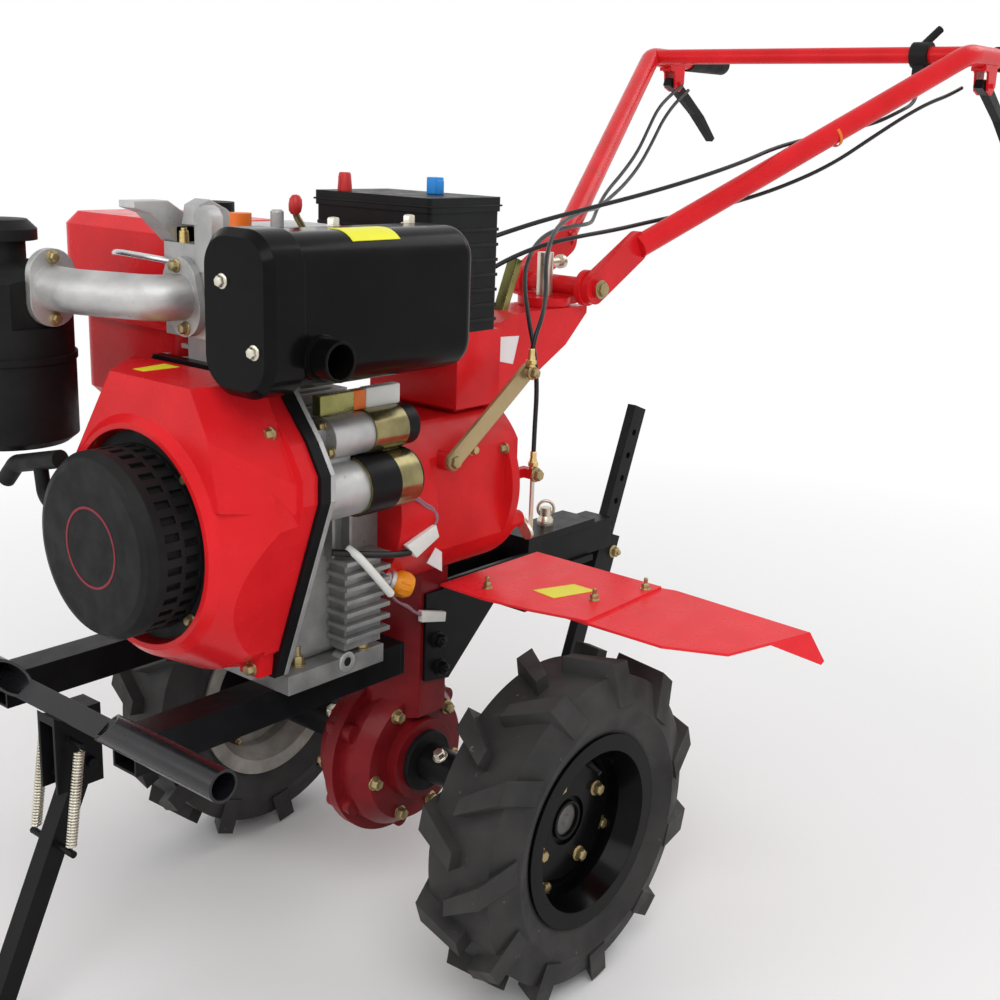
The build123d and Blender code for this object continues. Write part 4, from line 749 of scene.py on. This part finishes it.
def make_head_pieces():
    def flange_screws(bm):
        for y, z in ((-34.1, 845.2), (-19.9, 780.8)):
            add_bolt(bm, (INTAKE_FACE, y, z), (1, 0, 0), 10, 6, turn=z)
        for z in (846, 780):
            add_bolt(bm, (360, CLEANER_FACE, z), (0, 1, 0), 10, 6, turn=z)

    def posts(bm):
        outline = [(-12, 840), (-12, 898), (-7, 906), (2, 909), (10, 906), (16, 898), (16, 840)]
        add_slab(bm, [(274, y, z) for y, z in outline], (15.5, 0, 0))
        outline = [(-60, 868), (-60, 884), (-54, 890), (-46, 884), (-46, 868)]
        add_slab(bm, [(262, y, z) for y, z in outline], (24, 0, 0))
        add_lathe(bm, [(0, 0), (7, 0), (7, 16), (5, 18), (0, 18)], (226, 44, 888), (0, 0, 1), 20)

    def spacer(bm):
        profile = [(0, 0), (5.2, 0), (5.2, 13), (3.4, 13), (3.4, 16), (0, 16)]
        add_lathe(bm, profile, (283, -38, 867.5), (0, 0, 1), 18)

    def lever_stem(bm):
        route = [(196, 52, 884), (203, 54, 893), (210, 55, 900), (211, 55, 908)]
        add_tube(bm, route_points(route), STEM_RADIUS, 10)

    def knob(bm):
        profile = [(0, 0), (4, 0.5), (6.5, 4), (7.2, 10), (6.6, 16), (4, 20), (0, 21)]
        add_lathe(bm, profile, (211.5, 55, 901), (-0.1, 0, 1), 20)

    def fuel_pipe(bm):
        route = [(292, -44, 848), (300, -60, 850), (300, -100, 851), (298, -142, 851), (288, -156, 848)]
        add_tube(bm, route_points(route), PIPE_RADIUS, 10)

    def muffler_screws(bm):
        add_bolt(bm, (MUFFLER_CAP, 122.7, 847.7), (1, 0, 0), 10, 5)
        add_bolt(bm, (MUFFLER_CAP, 167.6, 785.3), (1, 0, 0), 10, 5, turn=1)
        add_stud(bm, (210, 112, MUFFLER_TOP), (0, 0, 1), 12, 8, 2)
        add_stud(bm, (99, 112, MUFFLER_TOP), (0, 0, 1), 12, 8, 2, turn=1)

    def muffler_plate(bm):
        bottom = []
        top = []
        for step in range(9):
            y = 145 + 33 * step / 8
            past = max(y - MUFFLER_CORNER_Y, 0)
            drop = math.sqrt(MUFFLER_CORNER**2 - past**2)
            lean = past / MUFFLER_CORNER
            for lift, edge in ((0.1, bottom), (0.7, top)):
                z = MUFFLER_CORNER_Z + drop + lift * math.sqrt(1 - lean * lean)
                edge.append((y + lean * lift, z))
        outline = bottom + list(reversed(top))
        low = [bm.verts.new(place(180, y, z)) for y, z in outline]
        high = [bm.verts.new(place(246, y, z)) for y, z in outline]
        count = len(outline)
        for index in range(count):
            nxt = (index + 1) % count
            bm.faces.new((low[index], low[nxt], high[nxt], high[index]))
        for index in range(len(bottom) - 1):
            for ring in (low, high):
                corners = (index, index + 1, count - 2 - index, count - 1 - index)
                bm.faces.new([ring[corner] for corner in corners])

    make_one("intake_screws", GOLD, "chassis", flange_screws)
    make_one("head_posts", ALUMINIUM, "chassis", posts)
    make_one("head_spacer", BRASS, "chassis", spacer)
    make_one("decompression_stem", GOLD, "chassis", lever_stem)
    make_one("decompression_knob", RED_PLASTIC, "chassis", knob)
    make_one("fuel_pipe", STEEL, "chassis", fuel_pipe)
    make_one("muffler_screws", ZINC, "chassis", muffler_screws)
    make_one("muffler_blank_plate", YELLOW_PLATE, "chassis", muffler_plate)


def make_starter_pieces():
    def black_bands(bm):
        band = [(32.5, 0), (33.5, 0), (33.5, 45), (32.5, 45)]
        shut_lathe(bm, band, (143, MOTOR_Y, MOTOR_Z), (1, 0, 0))
        motor_end = [(0, 0), (26, 0), (31, 2), (31, 6.5), (0, 6.5)]
        add_lathe(bm, motor_end, (103.8, MOTOR_Y, MOTOR_Z), (1, 0, 0), 40)
        solenoid_end = [(0, 0), (19, 0), (23, 3), (23, 22.5), (0, 22.5)]
        add_lathe(bm, solenoid_end, (96, SOLENOID_Y, SOLENOID_Z), (1, 0, 0), 40)

    def terminals(bm):
        add_stud(bm, (96, 117, 668), (-1, 0, 0), 11, 6, 7)
        add_stud(bm, (96, 104, 684), (-1, 0, 0), 9, 5, 5, turn=1)
        add_bolt(bm, (226, 112.6, 687), (1, 0, 0), 9, 5)
        add_bolt(bm, (226, 127, 662), (1, 0, 0), 9, 5, turn=1)

    def bracket(bm):
        add_box(bm, (178, 98, 696.5), (227, 111, 719), 1.5)

    def strip(bm):
        add_box(bm, (160, 99, 697), (178, 110.5, 719), 1.5)

    def white_box(bm):
        add_box(bm, (107, 98, 696.6), (159.8, 111, 720), 3)

    make_one("starter_bands", BLACK, "chassis", black_bands)
    make_one("starter_terminals", GOLD, "chassis", terminals)
    make_one("regulator_bracket", OLIVE, "chassis", bracket)
    make_one("regulator_strip", ORANGE, "chassis", strip)
    make_one("regulator_box", WHITE_PLASTIC, "chassis", white_box)


def make_dipstick():
    axis = Vector((-58, 32, -26)).normalized()
    start = Vector((122, 72, 492))

    def neck(bm):
        add_lathe(bm, [(0, 0), (11, 0), (11, 30), (13, 31), (13, 36), (0, 36)], start, axis, 24)

    def cap(bm):
        profile = [(0, 36), (11, 36), (15, 42), (15, 56), (13, 60), (9, 61), (7, 57), (0, 57)]
        add_lathe(bm, profile, start, axis, 24)
        for step in range(12):
            turn = Quaternion(axis, math.radians(30 * step))
            out = turn @ axis.orthogonal().normalized()
            base = start + axis * 43 + out * 14.6
            add_lathe(bm, [(0, 0), (1.3, 0.4), (1.3, 12), (0, 12.6)], base, axis, 6)

    make_one("dipstick_neck", ALUMINIUM, "chassis", neck)
    make_one("dipstick_cap", AMBER, "chassis", cap)


def make_wiring():
    def sheath(bm):
        route = [
            (196, 96, 538), (176, 109, 535), (159, 112, 531), (128, 112, 524), (108, 113.5, 520.5),
            (92, 115.5, 520),
        ]
        add_tube(bm, route_points(route), SHEATH_RADIUS, 10)

    def sleeve(bm):
        route = [(178, 102, 540), (177, 110, 537), (171, 113, 531), (146, 113.5, 504), (119, 112, 475)]
        add_tube(bm, route_points(route), SLEEVE_RADIUS, 10)

    def pale_wires(bm):
        for shift in (0, 3.2):
            upper = [
                (52, 115, 541 + shift), (46, 115, 548), (45 + shift, 114.5, 556), (53, 114.5, 563 + shift),
                (66, 115, 569 + shift), (84, 116, 583 + shift), (100, 114, 590),
            ]
            lower = [
                (121, 112, 477), (108, 108 - shift, 464), (88, 98, 452), (60, 84, 436 + shift),
                (36, 72, 420), (16, 66.4, 410 + shift),
            ]
            for route in (upper, lower):
                add_tube(bm, route_points(route), WIRE_RADIUS, 8)

    def connectors(bm):
        upper = [(51.4, 545.6), (100.6, 530.3), (83.5, 512.1), (45.7, 529.7)]
        add_slab(bm, [(x, 112, z) for x, z in upper], (0, 7, 0))
        lower = [(20, 418), (-24, 406), (-22.8, 393), (20.1, 403)]
        add_slab(bm, [(x, 62.3, z) for x, z in lower], (0, 8, 0))
        bmesh.ops.bevel(bm, geom=list(bm.edges), offset=0.0012, segments=2, profile=0.6, affect="EDGES")

    make_one("wire_sheath", CABLE, "chassis", sheath)
    make_one("wire_sleeve", WHITE_PLASTIC, "chassis", sleeve)
    make_one("pale_wires", PALE_WIRE, "chassis", pale_wires)
    make_one("wire_connectors", WHITE_PLASTIC, "chassis", connectors)


def make_battery_pieces():
    def ribs(bm):
        for index in range(BATTERY_RIBS):
            z = RIB_START + RIB_PITCH * index
            add_box(bm, (-98, BATTERY_NEAR, z), (22, BATTERY_NEAR + 2, z + 4), 0.8)
            add_box(bm, (-98, BATTERY_FAR - 2, z), (22, BATTERY_FAR, z + 4), 0.8)
            add_box(bm, (BATTERY_FRONT, -112, z), (BATTERY_FRONT + 2, 68, z + 4), 0.8)
            add_box(bm, (BATTERY_BACK - 2, -112, z), (BATTERY_BACK, 68, z + 4), 0.8)
        add_box(bm, (-101.8, -119.8, 905), (26.8, 74.8, 907.2), 0.6)

    def red_cap(bm):
        profile = [(0, 0), (8.8, 0), (8.8, 4), (7.4, 20), (6.2, 22), (0, 22)]
        add_lathe(bm, profile, (8, -84, BATTERY_TOP), (0, 0, 1), 24)
        add_box(bm, (14, -86, BATTERY_TOP), (17.4, -82, BATTERY_TOP + 18), 0.8)

    def blue_cap(bm):
        add_box(bm, (-67.5, -5.5, BATTERY_TOP), (-52.5, 9.5, BATTERY_TOP + 20), 1.4)
        add_box(bm, (-66, 9, BATTERY_TOP), (-54, 11.4, BATTERY_TOP + 16), 0.8)

    make_one("battery_ribs", BATTERY, "chassis", ribs)
    red = make_one("battery_cap_red", RED_PLASTIC, "chassis", red_cap)
    blue = make_one("battery_cap_blue", BLUE_PLASTIC, "chassis", blue_cap)
    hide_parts("battery_posts")
    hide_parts("battery_posts")


def coil_points(start, end, radius, turns, per_turn=9):
    axis = (end - start).normalized()
    across = axis.orthogonal().normalized()
    other = axis.cross(across)
    points = []
    count = turns * per_turn
    hook = axis * radius * 1.4
    points.append(start)
    for step in range(count + 1):
        angle = 2 * math.pi * step / per_turn
        centre = start + hook + (end - start - 2 * hook) * (step / count)
        points.append(centre + (across * math.cos(angle) + other * math.sin(angle)) * radius)
    points.append(end)
    return points


def make_springs():
    def coils(bm):
        for y in SPRING_SIDES:
            start = place(SPRING_TOP[0], y, SPRING_TOP[1])
            end = place(SPRING_LOW[0], y, SPRING_LOW[1])
            add_tube(bm, coil_points(start, end, COIL_RADIUS, COIL_TURNS), COIL_WIRE, 6)

    springs = make_one("spring_coils", ZINC, None, coils, 60)
    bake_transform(springs)
    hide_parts("stand_springs")


def make_rear_pieces():
    def pin_ring(bm):
        centre = place(-310, 0, 472)
        facing = Vector((0.77, 0.64, 0))
        across = Vector((0, 0, 1))
        other = facing.cross(across)
        points = []
        for step in range(29):
            angle = 2 * math.pi * step / 28
            points.append(centre + (across * math.cos(angle) + other * math.sin(angle)) * RING_RADIUS)
        add_tube(bm, points, RING_WIRE, 8)
        add_lathe(bm, [(8.2, 0), (12, 0), (12, 1.5), (8.2, 8)], (-310, 0, 454), (0, 0, 1), 24)

    def clamp_bolts(bm):
        add_stud(bm, (-463, CLAMP_SIDE, 378), (0, 1, 0), 13, 8, 5)
        add_bolt(bm, (-463, -CLAMP_SIDE, 378), (0, -1, 0), 13, 8)

    def pivot_bolts(bm):
        for side in (-1, 1):
            add_bolt(bm, (-312, side * YOKE_SIDE, 792), (0, side, 0), 17, 6)

    def tie(bm):
        along = Vector((-525, 223, 291)).normalized()
        profile = [(16.0, 0), (17.6, 0), (17.6, 5), (16.0, 5)]
        shut_lathe(bm, profile, (-705, 192, 1001.6), along, 32)

    make_one("hitch_pin_ring", ZINC, "chassis", pin_ring)
    make_one("clamp_bolts", GOLD, "chassis", clamp_bolts)
    make_one("yoke_bolts", GOLD, "handlebar_base", pivot_bolts)
    make_one("orange_tie", ORANGE, "handlebar", tie)


# Floor, backdrop and light


def make_floor():
    material, tree, shader = new_material("floor")
    shader.inputs["Base Color"].default_value = (0.93, 0.93, 0.93, 1)
    shader.inputs["Roughness"].default_value = 0.7
    glow = tree.nodes.new("ShaderNodeEmission")
    glow.inputs["Color"].default_value = (1, 1, 1, 1)
    coords = tree.nodes.new("ShaderNodeTexCoord")
    length = tree.nodes.new("ShaderNodeVectorMath")
    length.operation = "LENGTH"
    tree.links.new(coords.outputs["Object"], length.inputs[0])
    fade = span(tree, length.outputs["Value"], 0, 1, FADE_START, FADE_END)
    blend = tree.nodes.new("ShaderNodeMixShader")
    tree.links.new(fade, blend.inputs[0])
    tree.links.new(shader.outputs[0], blend.inputs[1])
    tree.links.new(glow.outputs[0], blend.inputs[2])
    output = next(node for node in tree.nodes if node.type == "OUTPUT_MATERIAL")
    tree.links.new(blend.outputs[0], output.inputs[0])
    bm = bmesh.new()
    bmesh.ops.create_grid(bm, x_segments=4, y_segments=4, size=30)
    mesh = mesh_from(bm, "floor")
    mesh.materials.append(material)
    floor = bpy.data.objects.new("floor", mesh)
    bpy.context.scene.collection.objects.link(floor)


def make_world():
    world = bpy.data.worlds.new("world")
    bpy.context.scene.world = world
    world.use_nodes = True
    tree = world.node_tree
    tree.nodes.clear()
    output = tree.nodes.new("ShaderNodeOutputWorld")
    path = tree.nodes.new("ShaderNodeLightPath")
    camera_or_glossy = tree.nodes.new("ShaderNodeMath")
    camera_or_glossy.operation = "MAXIMUM"
    tree.links.new(path.outputs["Is Camera Ray"], camera_or_glossy.inputs[0])
    tree.links.new(path.outputs["Is Glossy Ray"], camera_or_glossy.inputs[1])
    any_of = tree.nodes.new("ShaderNodeMath")
    any_of.operation = "MAXIMUM"
    tree.links.new(camera_or_glossy.outputs[0], any_of.inputs[0])
    tree.links.new(path.outputs["Is Transmission Ray"], any_of.inputs[1])
    strength = tree.nodes.new("ShaderNodeMapRange")
    strength.inputs["To Min"].default_value = SKY_STRENGTH
    strength.inputs["To Max"].default_value = SKY_SEEN_STRENGTH
    tree.links.new(any_of.outputs[0], strength.inputs["Value"])
    background = tree.nodes.new("ShaderNodeBackground")
    background.inputs["Color"].default_value = (1, 1, 1, 1)
    tree.links.new(strength.outputs[0], background.inputs["Strength"])
    tree.links.new(background.outputs[0], output.inputs[0])


def add_lamp(name, where, size, power):
    data = bpy.data.lights.new(name, "AREA")
    data.size = size
    data.energy = power
    lamp = bpy.data.objects.new(name, data)
    lamp.location = where
    aim = Vector((0, 0, 0.5)) - Vector(where)
    lamp.rotation_euler = aim.to_track_quat("-Z", "Y").to_euler()
    bpy.context.scene.collection.objects.link(lamp)


make_camera()
make_cables()
dress_nodes()
make_wheel_pieces(1, "left")
make_wheel_pieces(-1, "right")
make_drive_pieces()
make_gearbox_pieces()
make_engine_pieces()
make_head_pieces()
make_starter_pieces()
make_dipstick()
make_wiring()
make_battery_pieces()
make_springs()
make_rear_pieces()
make_floor()
make_world()
for lamp_row in LAMPS:
    add_lamp(*lamp_row)

bpy.context.scene.view_settings.view_transform = "Standard"
